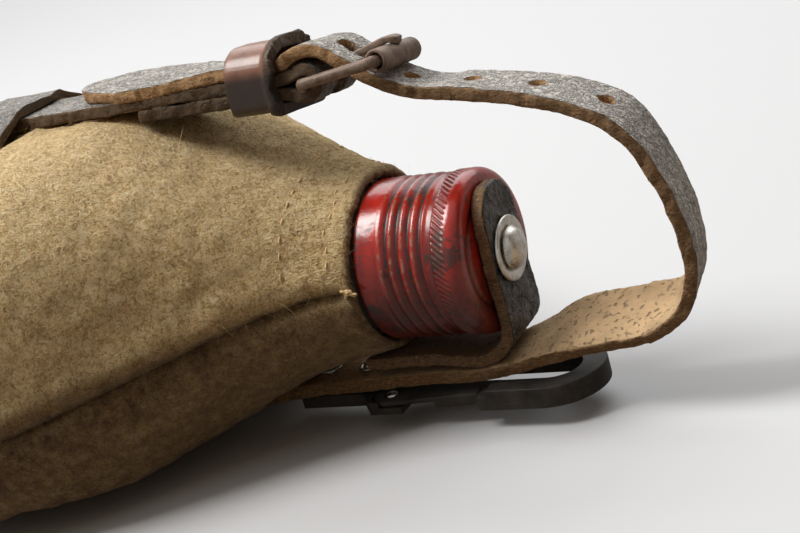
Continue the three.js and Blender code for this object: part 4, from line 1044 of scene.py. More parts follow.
def on_panel(name, below, angle):
    """A point of a panel's face and the way out of it there."""
    points, normal, dirt_and_shade = felt_faces[name]
    row = int(np.argmin(np.abs(felt_places - below)))
    column = int(round(angle / np.pi * (FELT_COLUMNS - 1)))
    return points[row, column], normal[row, column]


stitches = []
draw = np.random.default_rng(57)
STITCH_ARCH = [(-1, -0.35), (-0.6, 0.02), (0, 0.12), (0.6, 0.02), (1, -0.35)]
for row, below in enumerate(STITCH_ROWS):
    around = np.pi * (NECK_FELT_RADIUS + 1.5 * row)
    for place in np.arange(4 + row, around - 3, STITCH_SPACING):
        half = STITCH_LENGTH / 2 / around * np.pi
        middle = place / around * np.pi + draw.normal(0, 0.012)
        beside = below + draw.normal(0, 0.35)
        held = [on_panel("front", beside, middle + share * half) for share, lift in STITCH_ARCH]
        arched = [at + lift * out for (at, out), (share, lift) in zip(held, STITCH_ARCH)]
        stitches.append(thread_tube(arched, THREAD))
knot_at, knot_out = on_panel("front", 1.2, np.pi - 0.03)
for k in range(6):
    walk = np.cumsum(draw.normal(0, 0.75, (5, 3)), 0)
    walk -= walk.mean(0)
    knotted = knot_at + 0.35 * knot_out + walk * np.array([1.2, 0.35, 0.9])
    stitches.append(thread_tube(knotted, 1.3 * THREAD))
add_threads("hem_stitches", stitches, linen_thread())


# Carrying strap
# One long strap of thick grey-brown hide. Its fold is held round the buckle's hinge bar, and from there it
# runs down the front, round the base and up the back, past the cap in a free loop, and through the buckle
# to its pointed end. The grain is cracked and dusty, and the cut edges are torn and tan.
BUCKLE_X = -4.5
BUCKLE_Z = BODY_FRONT
BUCKLE_LEAN = -7.0
BUCKLE_WIRE = 2.4
LEAN = math.radians(BUCKLE_LEAN)
FOLD_RADIUS = BUCKLE_WIRE / 2 + CLEARANCE + HALF_LEATHER
LAYER = LEATHER + 0.25
OVER_FELT = BODY_FRONT + CLEARANCE + HALF_LEATHER
FRONT_AT_KEEPER = BUCKLE_Z + 1.4
KEEPER_LENGTH = 12.5
KEEPER_PLACE = -17.2
KEEPER_ENDS = (KEEPER_PLACE + KEEPER_LENGTH / 2 + 0.4, KEEPER_PLACE - KEEPER_LENGTH / 2 - 1)
TONGUE_CROSSING = (4.4, BUCKLE_Z + 3.3)
RIVET_PLACES = (-14.0, -25.0)
STRAP_AT_RIVETS = (-27.7, -28.15)
HOLE_SPACING = 14.2
HOLE_COUNT = 4
HOLE_RADIUS = 1.75
RIVET_HOLE = 3.8
TONGUE_SLOT = (9.2, 5.0)
PUNCH_SIDES = 40
PUNCH_REACH = 2.6
POINT_LENGTH = 14.5
TIP_WIDTH = 0.12
TOP_LAYER_RUN = 80.0
PINCHED = 0.84
BLACKENED_RUN = 112.0
DARK_EDGE_RUN = 165.0
FRONT_DARKENING_RUN = 190.0


def leaning(x, z, yaw=0.0):
    height = z - BUCKLE_Z
    return (x, BUCKLE_Z + height * math.cos(LEAN), BUCKLE_LEAN, yaw, -height * math.sin(LEAN))


def beside_keeper(layer):
    return [
        leaning(KEEPER_ENDS[0], FRONT_AT_KEEPER + layer * LAYER),
        leaning(KEEPER_ENDS[1], FRONT_AT_KEEPER + layer * LAYER),
        leaning(-50, FRONT_AT_KEEPER - 0.1 + layer * LAYER),
    ]


def on_felt(layer):
    return [(-59, OVER_FELT - 0.2 + layer * LAYER, -2), (-69, OVER_FELT + layer * LAYER)]


def round_base():
    """Stations from the front of the base's round edge to the back of it."""
    stations = []
    reach = BASE_ROUND + CLEARANCE + HALF_LEATHER
    front_middle = BODY_FRONT - BASE_ROUND
    for angle in np.radians([0, 30, 60, 90]):
        stations.append((-BASE_START - reach * math.sin(angle), front_middle + reach * math.cos(angle)))
    hollow = math.pi * STRAP_WIDTH / 2 / (BODY_HALF_WIDTH - BODY_NARROWING) / LOBE_PLACE
    deep = BASE_ROUND - BACK_HOLLOW * (1 + math.cos(hollow)) / 2
    off = 3.2 * CLEARANCE + HALF_LEATHER
    for angle in np.radians([90, 60, 30, 0]):
        sine, cosine = math.sin(angle), math.cos(angle)
        slope = math.hypot(sine / BASE_ROUND, cosine / deep)
        stations.append((
            -BASE_START - BASE_ROUND * sine - off * sine / BASE_ROUND / slope,
            -BODY_BACK + BASE_ROUND - deep * cosine - off * cosine / deep / slope,
        ))
    return stations


def round_hinge(angle):
    return leaning(BUCKLE_X + FOLD_RADIUS * math.cos(angle), BUCKLE_Z + FOLD_RADIUS * math.sin(angle))


strap_stations = [
    *beside_keeper(-1)[::-1],
    *[round_hinge(angle) for angle in np.radians(np.linspace(-100, 100, 6))],
    *beside_keeper(0),
    *on_felt(0),
    (-80, OVER_FELT),
    (-110, OVER_FELT),
    *round_base(),
    (-110, under_felt(110)),
    (-75, under_felt(75)),
    (-58, under_felt(58) - 0.1),
    (-46, under_felt(46)),
    (-36, under_felt(36) - 0.1),
    (RIVET_PLACES[1], STRAP_AT_RIVETS[1]),
    (RIVET_PLACES[0], STRAP_AT_RIVETS[0]),
    (-3, -26.8),
    (8, -26.3),
    (18, -25.7, 3),
    (CAP_END + 3, -23.3, 9),
    (CAP_END + 17, -18.9, 24),
    (CAP_END + 30.6, -17.2, 22, -3),
    (CAP_END + 39.8, -14, 8, -7),
    (CAP_END + 43.8, -5, 1, -10),
    (CAP_END + 42.9, 8, 0, -9),
    (CAP_END + 39.4, 18.8, 0, -7),
    (CAP_END + 34.8, 26, 0, -3),
    (CAP_END + 24.6, 31.6, -1),
    (CAP_END + 5.6, 36.2, -4),
    (18.3, 38.1, BUCKLE_LEAN),
    leaning(12.2, BUCKLE_Z - 1.9),
    leaning(*TONGUE_CROSSING),
    leaning(-0.2, BUCKLE_Z + 6.3),
    leaning(-4.6, BUCKLE_Z + 6.7),
    leaning(-8, BUCKLE_Z + 5.7),
    *beside_keeper(1)[:2],
    *[(x, z + 0.4, 4) for x, z, *lean in (beside_keeper(1)[2], *on_felt(1))],
]
strap_path = leather_path(strap_stations, 1.25)
strap_run = run_along(strap_path)
to_end = strap_run[-1] - strap_run
strap_widths = mix(TIP_WIDTH, 1, np.sqrt(np.clip(to_end / POINT_LENGTH, 0, 1)))
in_keeper = np.abs(strap_path["at"][:, 0] - KEEPER_PLACE) < KEEPER_LENGTH / 2
strap_widths = np.where(in_keeper & (to_end < TOP_LAYER_RUN), PINCHED, strap_widths)


def strap_station(x, z):
    return int(np.argmin(np.hypot(strap_path["at"][:, 0] - x, strap_path["at"][:, 2] - z)))


def punch(index, length, width):
    """A round-ended punch through the strap at one of its stations."""
    turns = full_turn(PUNCH_SIDES)
    reach = (length - width) / 2
    u = width / 2 * np.cos(turns) + reach * np.sign(np.cos(turns))
    v = width / 2 * np.sin(turns)
    at, along, across, out = (strap_path[key][index] for key in ("at", "along", "across", "out"))
    flat = at + u[:, None] * along + v[:, None] * across
    return np.concatenate([flat - PUNCH_REACH * out, flat + PUNCH_REACH * out]), capped_faces(2, PUNCH_SIDES)


def cut_away(piece, tools):
    """Takes the tools' shapes out of a piece. Tools that are cut together don't touch each other."""
    work = bmesh.new()
    for points, faces in tools:
        corners = [work.verts.new(point) for point in (points * MM + NECK)]
        for face in faces:
            work.faces.new([corners[i] for i in face])
    bmesh.ops.recalc_face_normals(work, faces=work.faces)
    mesh = bpy.data.meshes.new("punch")
    work.to_mesh(mesh)
    work.free()
    tool = placed("punch", mesh)
    taking = piece.modifiers.new("punch", "BOOLEAN")
    taking.operation = "DIFFERENCE"
    taking.solver = "EXACT"
    taking.object = tool
    bpy.context.view_layer.update()
    left = bpy.data.meshes.new_from_object(piece.evaluated_get(bpy.context.evaluated_depsgraph_get()))
    piece.modifiers.remove(taking)
    piece.data = left
    bpy.data.objects.remove(tool)


def grain_inside(outline):
    """The same outline for a strip whose grain side is turned the other way."""
    turned_over = outline.copy()
    turned_over[:, 2] = 1 - outline[:, 2]
    return turned_over


grey_leather = leather_finish(
    "grey_leather",
    grain=(0.62, 0.575, 0.52),
    crack=(0.08, 0.066, 0.054),
    flesh=(0.68, 0.47, 0.265),
    edge=(0.45, 0.27, 0.13),
    sheen_roughness=0.55,
    crease=330.0,
    dents=0.25,
)
slot_place = strap_station(*TONGUE_CROSSING)
hole_runs = [strap_run[slot_place] - HOLE_SPACING * (i + 1) for i in range(HOLE_COUNT)]
hole_places = [int(np.argmin(np.abs(strap_run - run))) for run in hole_runs]
rivet_places = [strap_station(x, z) for x, z in zip(RIVET_PLACES, STRAP_AT_RIVETS)]
in_lean = Matrix.Translation((0, 0, BUCKLE_Z)) @ Matrix.Rotation(LEAN, 4, "X")
eye_reach = 1.5 * FOLD_RADIUS
eye_x = BUCKLE_X + 0.4 * FOLD_RADIUS
eye_corners = [
    (eye_x + a * eye_reach, b * TONGUE_SLOT[1] / 2, c * (FOLD_RADIUS + 2))
    for c in (-1, 1)
    for a, b in ((-1, -1), (1, -1), (1, 1), (-1, 1))
]
eye_block = (seated(np.array(eye_corners), in_lean), capped_faces(2, 4))
strap_holes = [
    punch(slot_place, *TONGUE_SLOT),
    *[punch(place, 2 * HOLE_RADIUS + 0.01, 2 * HOLE_RADIUS) for place in hole_places],
    *[punch(place, RIVET_HOLE + 0.01, RIVET_HOLE) for place in rivet_places],
]
strap_outline = grain_inside(strip_outline(STRAP_WIDTH, LEATHER, 0.55))
# The strap's face is made near black along its lower layers by the buckle, and a little darker down the front
# to the base.
black_all_over = 0.95 * smooth((BLACKENED_RUN - strap_run) / 24)
front_darkening = 0.35 * smooth((FRONT_DARKENING_RUN - strap_run) / 20)
face_darkening = np.maximum(black_all_over, front_darkening)
black_edges = 0.5 + 0.4 * smooth((DARK_EDGE_RUN - strap_run) / 20)
black_edges *= smooth((strap_run[slot_place] - strap_run) / 12)
strap = leather_strip(
    "long_strap",
    strap_path,
    strap_outline,
    strap_widths,
    np.maximum(face_darkening[:, None], black_edges[:, None] * strap_outline[:, 3]),
    grey_leather,
    "flask",
    "grey_leather",
    seed=61,
    punches=([eye_block], strap_holes),
)
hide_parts("carrying_strap")


# Body band
# A thinner band of the same hide round the belly, which holds the strap down. It lies pressed into the felt
# and rises over the strap on the front and on the back.
BAND_OVER_STRAP = OVER_FELT + HALF_LEATHER + CLEARANCE
BAND_UNDER_STRAP = under_felt(BAND_PLACE) - HALF_LEATHER - CLEARANCE
BAND_SLOPE = 0.5
BAND_COLUMNS = 320


def band_ring(offset, lift):
    """Points round the belly at an offset from the band's middle and a height over its inner face."""
    angles = full_turn(BAND_COLUMNS)
    share = np.cos(angles)
    size = body_sizes(BAND_PLACE + offset, BAND_LEATHER - lift)
    y = size["half_width"] * share
    beside = np.maximum(np.abs(y) - STRAP_WIDTH / 2 - CLEARANCE, 0)
    felt_top = front_height(size, share)
    over_strap = BAND_OVER_STRAP + lift - BAND_SLOPE * beside
    front = np.where(beside < STRAP_WIDTH, eased(felt_top, over_strap, 1.2), felt_top)
    felt_back = clear_back(size, share, BAND_PLACE + offset, BAND_LEATHER - lift)
    under_strap = BAND_UNDER_STRAP - lift + BAND_SLOPE * beside
    back = np.where(beside < STRAP_WIDTH, -eased(-felt_back, -under_strap, 0.6), felt_back)
    z = np.where(np.sin(angles) >= 0, front, back)
    return np.stack([np.full_like(angles, -(BAND_PLACE + offset)), y, z], -1)


band_outline = strip_outline(BAND_WIDTH, BAND_LEATHER, 0.4, count=9)
band_points = np.array([band_ring(across, out + BAND_LEATHER / 2) for across, out in band_outline[:, :2]])
band_ragged = 0.14 * lumps(band_points, 1.8, 71) + 0.2 * lumps(band_points, 7.0, 72)
band_points[..., 0] -= np.sign(band_outline[:, 0:1]) * band_outline[:, 3:4] * band_ragged
band_points[..., 2] += 0.1 * lumps(band_points, 8.0, 73) * (1 - band_outline[:, 2:3])
band_points[..., 2] = np.maximum(band_points[..., 2], FLOOR)
band_faces = grid_faces(len(band_outline), BAND_COLUMNS, close_rows=True, close_columns=True)
band = add_piece("belly_band", band_points, band_faces, grey_leather, "flask", "grey_leather")
band_flesh, band_edge = band_outline[:, 2:3], band_outline[:, 3:4]
# The band's face is a little darker, and its cut edges are darkened further as painted shade.
for kept, values in (("flesh", band_flesh), ("edge", band_edge), ("soil_and_shade", 0.35 + 0.6 * band_edge)):
    carry(band, kept, np.repeat(values, BAND_COLUMNS, 1))
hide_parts("body_band")


# Keeper
# A loop of smooth red-brown leather behind the buckle, closed round the strap's three layers. Its edge
# nearest the buckle has rolled up into a thick dark lip.
KEEPER_LEATHER = 1.8
KEEPER_SLACK = 1.9
KEEPER_LIP = 1.0
KEEPER_LIP_START = 3.6
KEEPER_ROUND = 5.5
KEEPER_SQUARE = 0.5
keeper_half = STRAP_WIDTH / 2 + CLEARANCE
keeper_low = FRONT_AT_KEEPER - LAYER - HALF_LEATHER - CLEARANCE - BUCKLE_Z
keeper_high = FRONT_AT_KEEPER + LAYER + HALF_LEATHER + KEEPER_SLACK - BUCKLE_Z


def keeper_ring(lift):
    """The keeper's section at a height over its inner face: rounded over the strap, square below."""
    points = []
    corners = [
        (keeper_half, keeper_high, KEEPER_ROUND, 0),
        (-keeper_half, keeper_high, KEEPER_ROUND, 90),
        (-keeper_half, keeper_low, KEEPER_SQUARE, 180),
        (keeper_half, keeper_low, KEEPER_SQUARE, 270),
    ]
    for y, z, radius, start in corners:
        middle = (y - math.copysign(radius, y), z - radius if z > 0 else z + radius)
        for angle in np.radians(np.linspace(start, start + 90, 13)):
            reach = radius + lift
            points.append((0, middle[0] + reach * math.cos(angle), middle[1] + reach * math.sin(angle)))
    ring = np.array(points)
    ahead = np.roll(ring, -1, 0)
    return np.concatenate([ring + (ahead - ring) * t for t in (0.0, 0.34, 0.67)], 1).reshape(-1, 3)


def brown_leather():
    finish, tree, shader = new_finish("brown_leather", 0.33)
    shader.inputs["Coat Weight"].default_value = 0.25
    shader.inputs["Coat Roughness"].default_value = 0.25
    where = own_space(tree)
    blotch = noise(tree, where, 210, 5, 0.6)
    creases = noise(tree, stretched(tree, where, (0, 0, 0), (1400, 240, 240)), 1.0, 4, 0.6)
    pores = noise(tree, where, 2300, 3)
    shade = blended(tree, ranged(tree, blotch, 0.3, 0.7), (0.18, 0.064, 0.035), (0.38, 0.17, 0.095))
    shade = stained(tree, shade, pores, (0.6, 0.75), 0.4, (0.34, 0.21, 0.16))
    fibre = ranged(tree, pores, 0.35, 0.65)
    rim = blended(tree, fibre, (0.035, 0.021, 0.013), (0.17, 0.105, 0.06))
    torn = ranged(tree, carried(tree, "edge"), 0.25, 0.8)
    shade = blended(tree, torn, shade, rim)
    # Painted shade darkens the keeper's lower side.
    shade = blended(tree, carried(tree, "soil_and_shade"), shade, (0.022, 0.013, 0.009))
    plug(tree, shader.inputs["Base Color"], shade)
    plug(tree, shader.inputs["Roughness"], ranged(tree, torn, 0.0, 1.0, 0.3, 0.9))
    roughened(tree, shader, (creases, 0.07), (reckon(tree, "MULTIPLY", pores, torn), 0.3), (pores, 0.04))
    return finish


keeper_outline = strip_outline(KEEPER_LENGTH, KEEPER_LEATHER, 0.45, count=21)
keeper_rows = []
for across, out, flesh, edge in keeper_outline:
    lip = KEEPER_LIP * smooth((across - KEEPER_LIP_START) / 1.4) * (out > 0)
    ring = keeper_ring(out + KEEPER_LEATHER / 2 + lip)
    keeper_rows.append(ring + np.array([KEEPER_PLACE + across, 0, 0]))
keeper_points = np.array(keeper_rows)
lipped = smooth((keeper_outline[:, 0:1] - KEEPER_LIP_START) / 1.4)
keeper_rough = np.maximum(keeper_outline[:, 3:4], 0.8 * lipped)
crumple = keeper_rough * (0.2 * lumps(keeper_points, 2.0, 81) + 0.2 * lumps(keeper_points, 5.0, 82))
keeper_points[..., 0] += crumple
keeper_points[..., 2] += 0.5 * crumple * (keeper_outline[:, 1:2] > 0)
keeper = add_piece(
    "strap_loop",
    seated(keeper_points.reshape(-1, 3), in_lean),
    grid_faces(*keeper_points.shape[:2], close_rows=True, close_columns=True),
    brown_leather(),
    "flask",
    "brown_leather",
)
carry(keeper, "edge", np.repeat(keeper_rough, keeper_points.shape[1], 1))
# Painted shade: the keeper darkens towards its lower side.
carry(keeper, "soil_and_shade", 0.95 * smooth((5.5 - keeper_points[..., 2]) / 3.4))
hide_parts("strap_keeper")


# Roller buckle
# A frame of bent steel wire hinged in the strap's fold, a roller of rolled sheet on its outer bar and a flat
# steel tongue. All three are rusted brown, with paler flecks where the rust has been rubbed.
BUCKLE_RISE = 7.0
BUCKLE_LENGTH = 18.2
BUCKLE_CORNER = 1.8
BESIDE_STRAP = 1.3
ROLLER_RADIUS = 2.5
ROLLER_SHEET = 0.8
ROLLER_LENGTH = STRAP_WIDTH + 0.4
TONGUE_WIDTH = 3.0
TONGUE_SHEET = 1.5
wire = BUCKLE_WIRE / 2
on_buckle = (
    Matrix.Translation((BUCKLE_X, 0, BUCKLE_Z))
    @ Matrix.Rotation(LEAN, 4, "X")
    @ Matrix.Rotation(-math.radians(BUCKLE_RISE), 4, "Y")
)


def rusted_steel():
    finish, tree, shader = new_finish("rusted_steel", 0.6, 0.35)
    where = own_space(tree)
    patches = noise(tree, where, 240, 5, 0.65)
    scale = noise(tree, where, 1400, 4, 0.7)
    shade = blended(tree, ranged(tree, patches, 0.35, 0.65), (0.10, 0.062, 0.045), (0.32, 0.235, 0.18))
    shade = stained(tree, shade, scale, (0.55, 0.7), 0.6, (0.24, 0.115, 0.06))
    shade = stained(tree, shade, scale, (0.42, 0.3), 0.6, (0.40, 0.35, 0.31))
    plug(tree, shader.inputs["Base Color"], shade)
    plug(tree, shader.inputs["Roughness"], ranged(tree, patches, 0.3, 0.7, 0.42, 0.72))
    roughened(tree, shader, (patches, 0.12), (scale, 0.08))
    return finish


rust = rusted_steel()


def tube_round(middles, across, up, radius, sides=20):
    """Rings of a bar of round section along its middle line."""
    turns = full_turn(sides)
    return (
        middles[:, None]
        + radius * np.cos(turns)[:, None] * across[:, None]
        + radius * np.sin(turns)[:, None] * up[:, None]
    )


def wire_frame():
    half = STRAP_WIDTH / 2 + BESIDE_STRAP + wire
    middles, aways = [], []
    far, near = BUCKLE_LENGTH - BUCKLE_CORNER, BUCKLE_CORNER
    for x, y, start in [
        (far, half - BUCKLE_CORNER, 0),
        (near, half - BUCKLE_CORNER, 90),
        (near, BUCKLE_CORNER - half, 180),
        (far, BUCKLE_CORNER - half, 270),
    ]:
        for angle in np.radians(np.linspace(start, start + 90, 9)):
            away = np.array([math.cos(angle), math.sin(angle), 0])
            middles.append(np.array([x, y, 0]) + BUCKLE_CORNER * away)
            aways.append(away)
    middles, aways = np.array(middles), np.array(aways)
    ahead, away_ahead = np.roll(middles, -1, 0), np.roll(aways, -1, 0)
    shares = np.linspace(0, 1, 6, endpoint=False)
    middles = np.concatenate([middles + (ahead - middles) * t for t in shares], 1).reshape(-1, 3)
    aways = np.concatenate([aways + (away_ahead - aways) * t for t in shares], 1).reshape(-1, 3)
    ups = np.tile([0.0, 0.0, 1.0], (len(middles), 1))
    return tube_round(middles, aways, ups, wire)


frame_rings = wire_frame()
frame_rings = frame_rings + 0.05 * lumps(frame_rings, 2.0, 91)[..., None]
buckle = add_piece(
    "wire_buckle",
    seated(frame_rings.reshape(-1, 3), on_buckle),
    grid_faces(*frame_rings.shape[:2], close_rows=True, close_columns=True),
    rust,
    "buckle",
    "rusted_steel",
)
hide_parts("buckle_frame")

half_roller = ROLLER_LENGTH / 2
roller_bore = ROLLER_RADIUS - ROLLER_SHEET
roller_places = np.linspace(-half_roller + 1, half_roller - 1, 15)
roller_profile = [
    (-half_roller, roller_bore + 0.2),
    (-half_roller, ROLLER_RADIUS - 0.3),
    (-half_roller + 0.1, ROLLER_RADIUS - 0.08),
    (-half_roller + 0.35, ROLLER_RADIUS),
    *[(x, ROLLER_RADIUS - 0.06 * math.cos(2 * x)) for x in roller_places],
    (half_roller - 0.35, ROLLER_RADIUS),
    (half_roller - 0.1, ROLLER_RADIUS - 0.08),
    (half_roller, ROLLER_RADIUS - 0.3),
    (half_roller, roller_bore + 0.2),
    (half_roller - 0.3, roller_bore),
    (-half_roller + 0.3, roller_bore),
]
on_bar = on_buckle @ Matrix.Translation((BUCKLE_LENGTH, 0, 0)) @ Matrix.Rotation(math.pi / 2, 4, "Z")
roller = turned_piece("sheet_roller", roller_profile, rust, "roller", "rusted_steel", seat=on_bar)
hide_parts("buckle_roller")

eye_middle = wire + CLEARANCE + TONGUE_SHEET / 2
eye_turns = np.radians(np.linspace(-30, -285, 12))
on_roller = ROLLER_RADIUS + CLEARANCE + TONGUE_SHEET / 2
tongue_stations = [
    *[(eye_middle * math.cos(a), eye_middle * math.sin(a)) for a in eye_turns],
    (3.2, 2.0),
    (8.0, 2.2),
    (BUCKLE_LENGTH - 3.5, on_roller - 0.55),
    (BUCKLE_LENGTH - 0.6, on_roller - 0.1),
    (BUCKLE_LENGTH + 1.2, on_roller - 0.3),
    (BUCKLE_LENGTH + 2.4, on_roller - 0.9),
]
tongue_path = leather_path(tongue_stations, 3.0)
tongue_outline = strip_outline(TONGUE_WIDTH + 0.8, TONGUE_SHEET, 0.4, count=5)
tongue_left = np.linalg.norm(tongue_path["at"] - tongue_path["at"][-1], axis=1)
tongue_widths = np.minimum(1, 0.6 + 0.4 * np.sqrt(np.clip(tongue_left / 1.2, 0, 1)))
tongue_reach = tongue_widths[:, None] * tongue_outline[None, :, 0]
tongue_points = (
    tongue_path["at"][:, None]
    + tongue_path["across"][:, None] * tongue_reach[..., None]
    + tongue_path["out"][:, None] * tongue_outline[None, :, 1, None]
)
tongue = add_piece(
    "flat_tongue",
    seated(tongue_points.reshape(-1, 3), on_buckle),
    capped_faces(*tongue_points.shape[:2]),
    rust,
    "tongue",
    "rusted_steel",
)
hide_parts("buckle_tongue")


# Snap hook
# A flat hook stamped from steel plate and blued dark, riveted under the strap on the back. A hinged gate
# closes its mouth, pushed shut by a leaf spring, and turns on a bright pin.
HOOK_PLATE = 3.0
HOOK_TOP = -30.05
HOOK_RISE = 0.5
HOOK_HALF = 11.5
HOOK_BAR = 5.5
HOOK_NOSE = 44.0
HOOK_TAIL = -31.0
HOOK_TAIL_HALF = 6.5
HOOK_MOUTH = 2.0
HOOK_LIP = 1.7
GATE_PIVOT = (-6.0, -7.0)
GATE_TIP = 20.0
GATE_WIDTH = 3.4
GATE_EYE = 4.2
PIN_RADIUS = 1.4
SPRING_SHEET = 0.5
SPRING_WIDTH = 1.0
SPRING_END = 13.0
THROUGH_PLATE = (-4, 1)
HOOK_RIVET = 1.6
HOOK_RIVET_HEAD = 3.2
DOME_HEIGHT = 1.2
on_hook = (
    Matrix.Translation((RIVET_PLACES[0], 0, HOOK_TOP))
    @ Matrix.Rotation(-math.radians(HOOK_RISE), 4, "Y")
    @ Matrix.Translation((-RIVET_PLACES[0], 0, 0))
)
hook_inner = HOOK_HALF - HOOK_BAR
bend_middle = HOOK_NOSE - HOOK_HALF


def arc(x, y, radius, start, end, steps=24):
    turns = np.radians(np.linspace(start, end, steps))
    return np.stack([x + radius * np.cos(turns), y + radius * np.sin(turns)], -1).tolist()


def plate_shape(outline, low, high):
    """Points and faces of a plate from its outline, between two heights."""
    flat = np.array(outline)
    points = np.concatenate([np.column_stack([flat, np.full(len(flat), z)]) for z in (low, high)])
    return points, capped_faces(2, len(flat))


def upright(low, high, radius, x, y):
    return plate_shape(arc(x, y, radius, 0, 352.5, 48), low, high)


def on_the_hook(shape):
    return seated(shape[0], on_hook), shape[1]


def blued_steel():
    finish, tree, shader = new_finish("blued_steel", 0.6, 0.1)
    shader.inputs["Specular IOR Level"].default_value = 0.25
    where = own_space(tree)
    patches = noise(tree, where, 160, 5, 0.62)
    scratches = noise(tree, stretched(tree, where, (0.2, 0.1, 0.5), (160, 2600, 2600)), 1.0, 3)
    shade = blended(tree, ranged(tree, patches, 0.35, 0.65), (0.024, 0.021, 0.019), (0.07, 0.063, 0.057))
    shade = stained(tree, shade, scratches, (0.62, 0.75), 0.5, (0.12, 0.11, 0.10))
    plug(tree, shader.inputs["Base Color"], shade)
    plug(tree, shader.inputs["Roughness"], ranged(tree, patches, 0.3, 0.7, 0.5, 0.72))
    roughened(tree, shader, (patches, 0.06), (scratches, 0.02))
    return finish


def stamped(name, shape, finish, body, slot, cuts=(), edge=0.3):
    """A stamped plate with its cuts and slightly rounded edges."""
    piece = add_piece(name, *on_the_hook(shape), finish, body, slot)
    for tool in cuts:
        cut_away(piece, [on_the_hook(tool)])
    worn = piece.modifiers.new("worn_edges", "BEVEL")
    worn.width = edge * MM
    worn.segments = 2
    worn.limit_method = "ANGLE"
    worn.angle_limit = math.radians(40)
    piece.data.shade_smooth()
    level = piece.modifiers.new("flat_faces", "WEIGHTED_NORMAL")
    level.keep_sharp = True
    return piece


blue = blued_steel()
lap_end = GATE_PIVOT[0] + GATE_EYE
frame_outline = [
    (HOOK_TAIL, -HOOK_TAIL_HALF),
    (GATE_PIVOT[0] - 8, -HOOK_TAIL_HALF),
    (GATE_PIVOT[0] - 4, -HOOK_HALF),
    (lap_end, -HOOK_HALF),
    (lap_end, -hook_inner),
    (HOOK_MOUTH, -hook_inner),
    (HOOK_MOUTH, hook_inner),
    *arc(bend_middle, 0, hook_inner, 90, -90),
    (GATE_TIP - 3, -hook_inner),
    (GATE_TIP - 3, -HOOK_HALF + 1),
    (GATE_TIP - 2, -HOOK_HALF),
    *arc(bend_middle, 0, HOOK_HALF, -90, 90),
    (GATE_PIVOT[0] - 2, HOOK_HALF),
    (GATE_PIVOT[0] - 8, HOOK_TAIL_HALF),
    (HOOK_TAIL, HOOK_TAIL_HALF),
]
lap_low, lap_high = GATE_PIVOT[0], HOOK_MOUTH + 2
lap_outline = [(lap_low, -12.9), (lap_high, -12.9), (lap_high, 0.6), (lap_low, 0.6)]
gate_inner = -hook_inner + CLEARANCE + GATE_WIDTH
gate_heel = GATE_PIVOT[1] + GATE_EYE - 0.2


def beside_gate(x):
    return mix(gate_heel, gate_inner, (x - GATE_PIVOT[0]) / (GATE_TIP - 4 - GATE_PIVOT[0])) + CLEARANCE


spring_start = HOOK_MOUTH - 1.8
slot_start, slot_end = spring_start - CLEARANCE, HOOK_MOUTH + 0.1
slot_outline = [
    (slot_start, beside_gate(slot_start) - CLEARANCE),
    (slot_end, beside_gate(slot_end) - CLEARANCE),
    (slot_end, beside_gate(slot_end) + SPRING_SHEET + CLEARANCE),
    (slot_start, beside_gate(slot_start) + SPRING_SHEET + CLEARANCE),
]
hook = stamped(
    "hook_plate",
    plate_shape(frame_outline, -HOOK_PLATE, 0),
    blue,
    "flask",
    "dark_steel",
    cuts=[
        plate_shape(lap_outline, -HOOK_PLATE / 2, HOOK_PLATE / 2),
        upright(-HOOK_PLATE / 2, 1, GATE_EYE + 0.5, *GATE_PIVOT),
        upright(*THROUGH_PLATE, PIN_RADIUS + CLEARANCE, *GATE_PIVOT),
        plate_shape(slot_outline, -HOOK_PLATE - 0.5, -HOOK_PLATE + 1.7),
        *[upright(*THROUGH_PLATE, RIVET_HOLE / 2, x, 0) for x in RIVET_PLACES],
    ],
)
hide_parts("hook_frame")
lip_outline = [
    (GATE_TIP, -hook_inner),
    *arc(bend_middle, 0, hook_inner, -90, 90),
    (GATE_TIP, hook_inner),
    (GATE_TIP, HOOK_HALF),
    *arc(bend_middle, 0, HOOK_HALF, 90, -90),
    (GATE_TIP, -HOOK_HALF),
]
stamped("hook_lip", plate_shape(lip_outline, -0.3, HOOK_LIP), blue, "flask", "dark_steel")

thin = HOOK_PLATE / 2 - CLEARANCE
thick = HOOK_PLATE - 0.4
gate_outer = -hook_inner + CLEARANCE
grip_start = GATE_PIVOT[0] + 12
lever_outline = [
    (GATE_TIP - 3.3, -HOOK_HALF + 2.6),
    (GATE_TIP - 3.3, gate_outer),
    (GATE_TIP, gate_outer),
    (GATE_TIP, gate_inner),
    (GATE_TIP - 4, gate_inner),
    *arc(*GATE_PIVOT, GATE_EYE, 88, 268, 24),
]
gate = stamped(
    "hook_lever",
    plate_shape(lever_outline, -thick, 0),
    blue,
    "gate",
    "dark_steel",
    cuts=[
        plate_shape([(-30, -20), (grip_start, -20), (grip_start, 20), (-30, 20)], -5, -thin),
        upright(*THROUGH_PLATE, PIN_RADIUS + CLEARANCE, *GATE_PIVOT),
    ],
)
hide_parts("hook_gate")

leaf = []
for x in np.linspace(spring_start, SPRING_END, 40):
    low, high = -HOOK_PLATE + CLEARANCE, -HOOK_PLATE + CLEARANCE + SPRING_WIDTH
    near, far = beside_gate(x), beside_gate(x) + SPRING_SHEET
    leaf.append([(x, near, low), (x, far, low), (x, far, high), (x, near, high)])
leaf = np.array(leaf)
spring = add_piece(
    "gate_leaf",
    seated(leaf.reshape(-1, 3), on_hook),
    capped_faces(*leaf.shape[:2]),
    nickel,
    None,
    "bright_steel",
)
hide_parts("hook_gate_spring")
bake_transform(spring)

head_below = -HOOK_PLATE - 0.15


def domed_pin(radius, head, top):
    turns = np.linspace(0, np.pi / 2, 9)
    dome = [(head_below - DOME_HEIGHT * math.cos(a), head * math.sin(a)) for a in turns]
    return [*dome, (head_below, radius), (top - 0.2, radius), (top, radius - 0.2), (top, 0.0)]


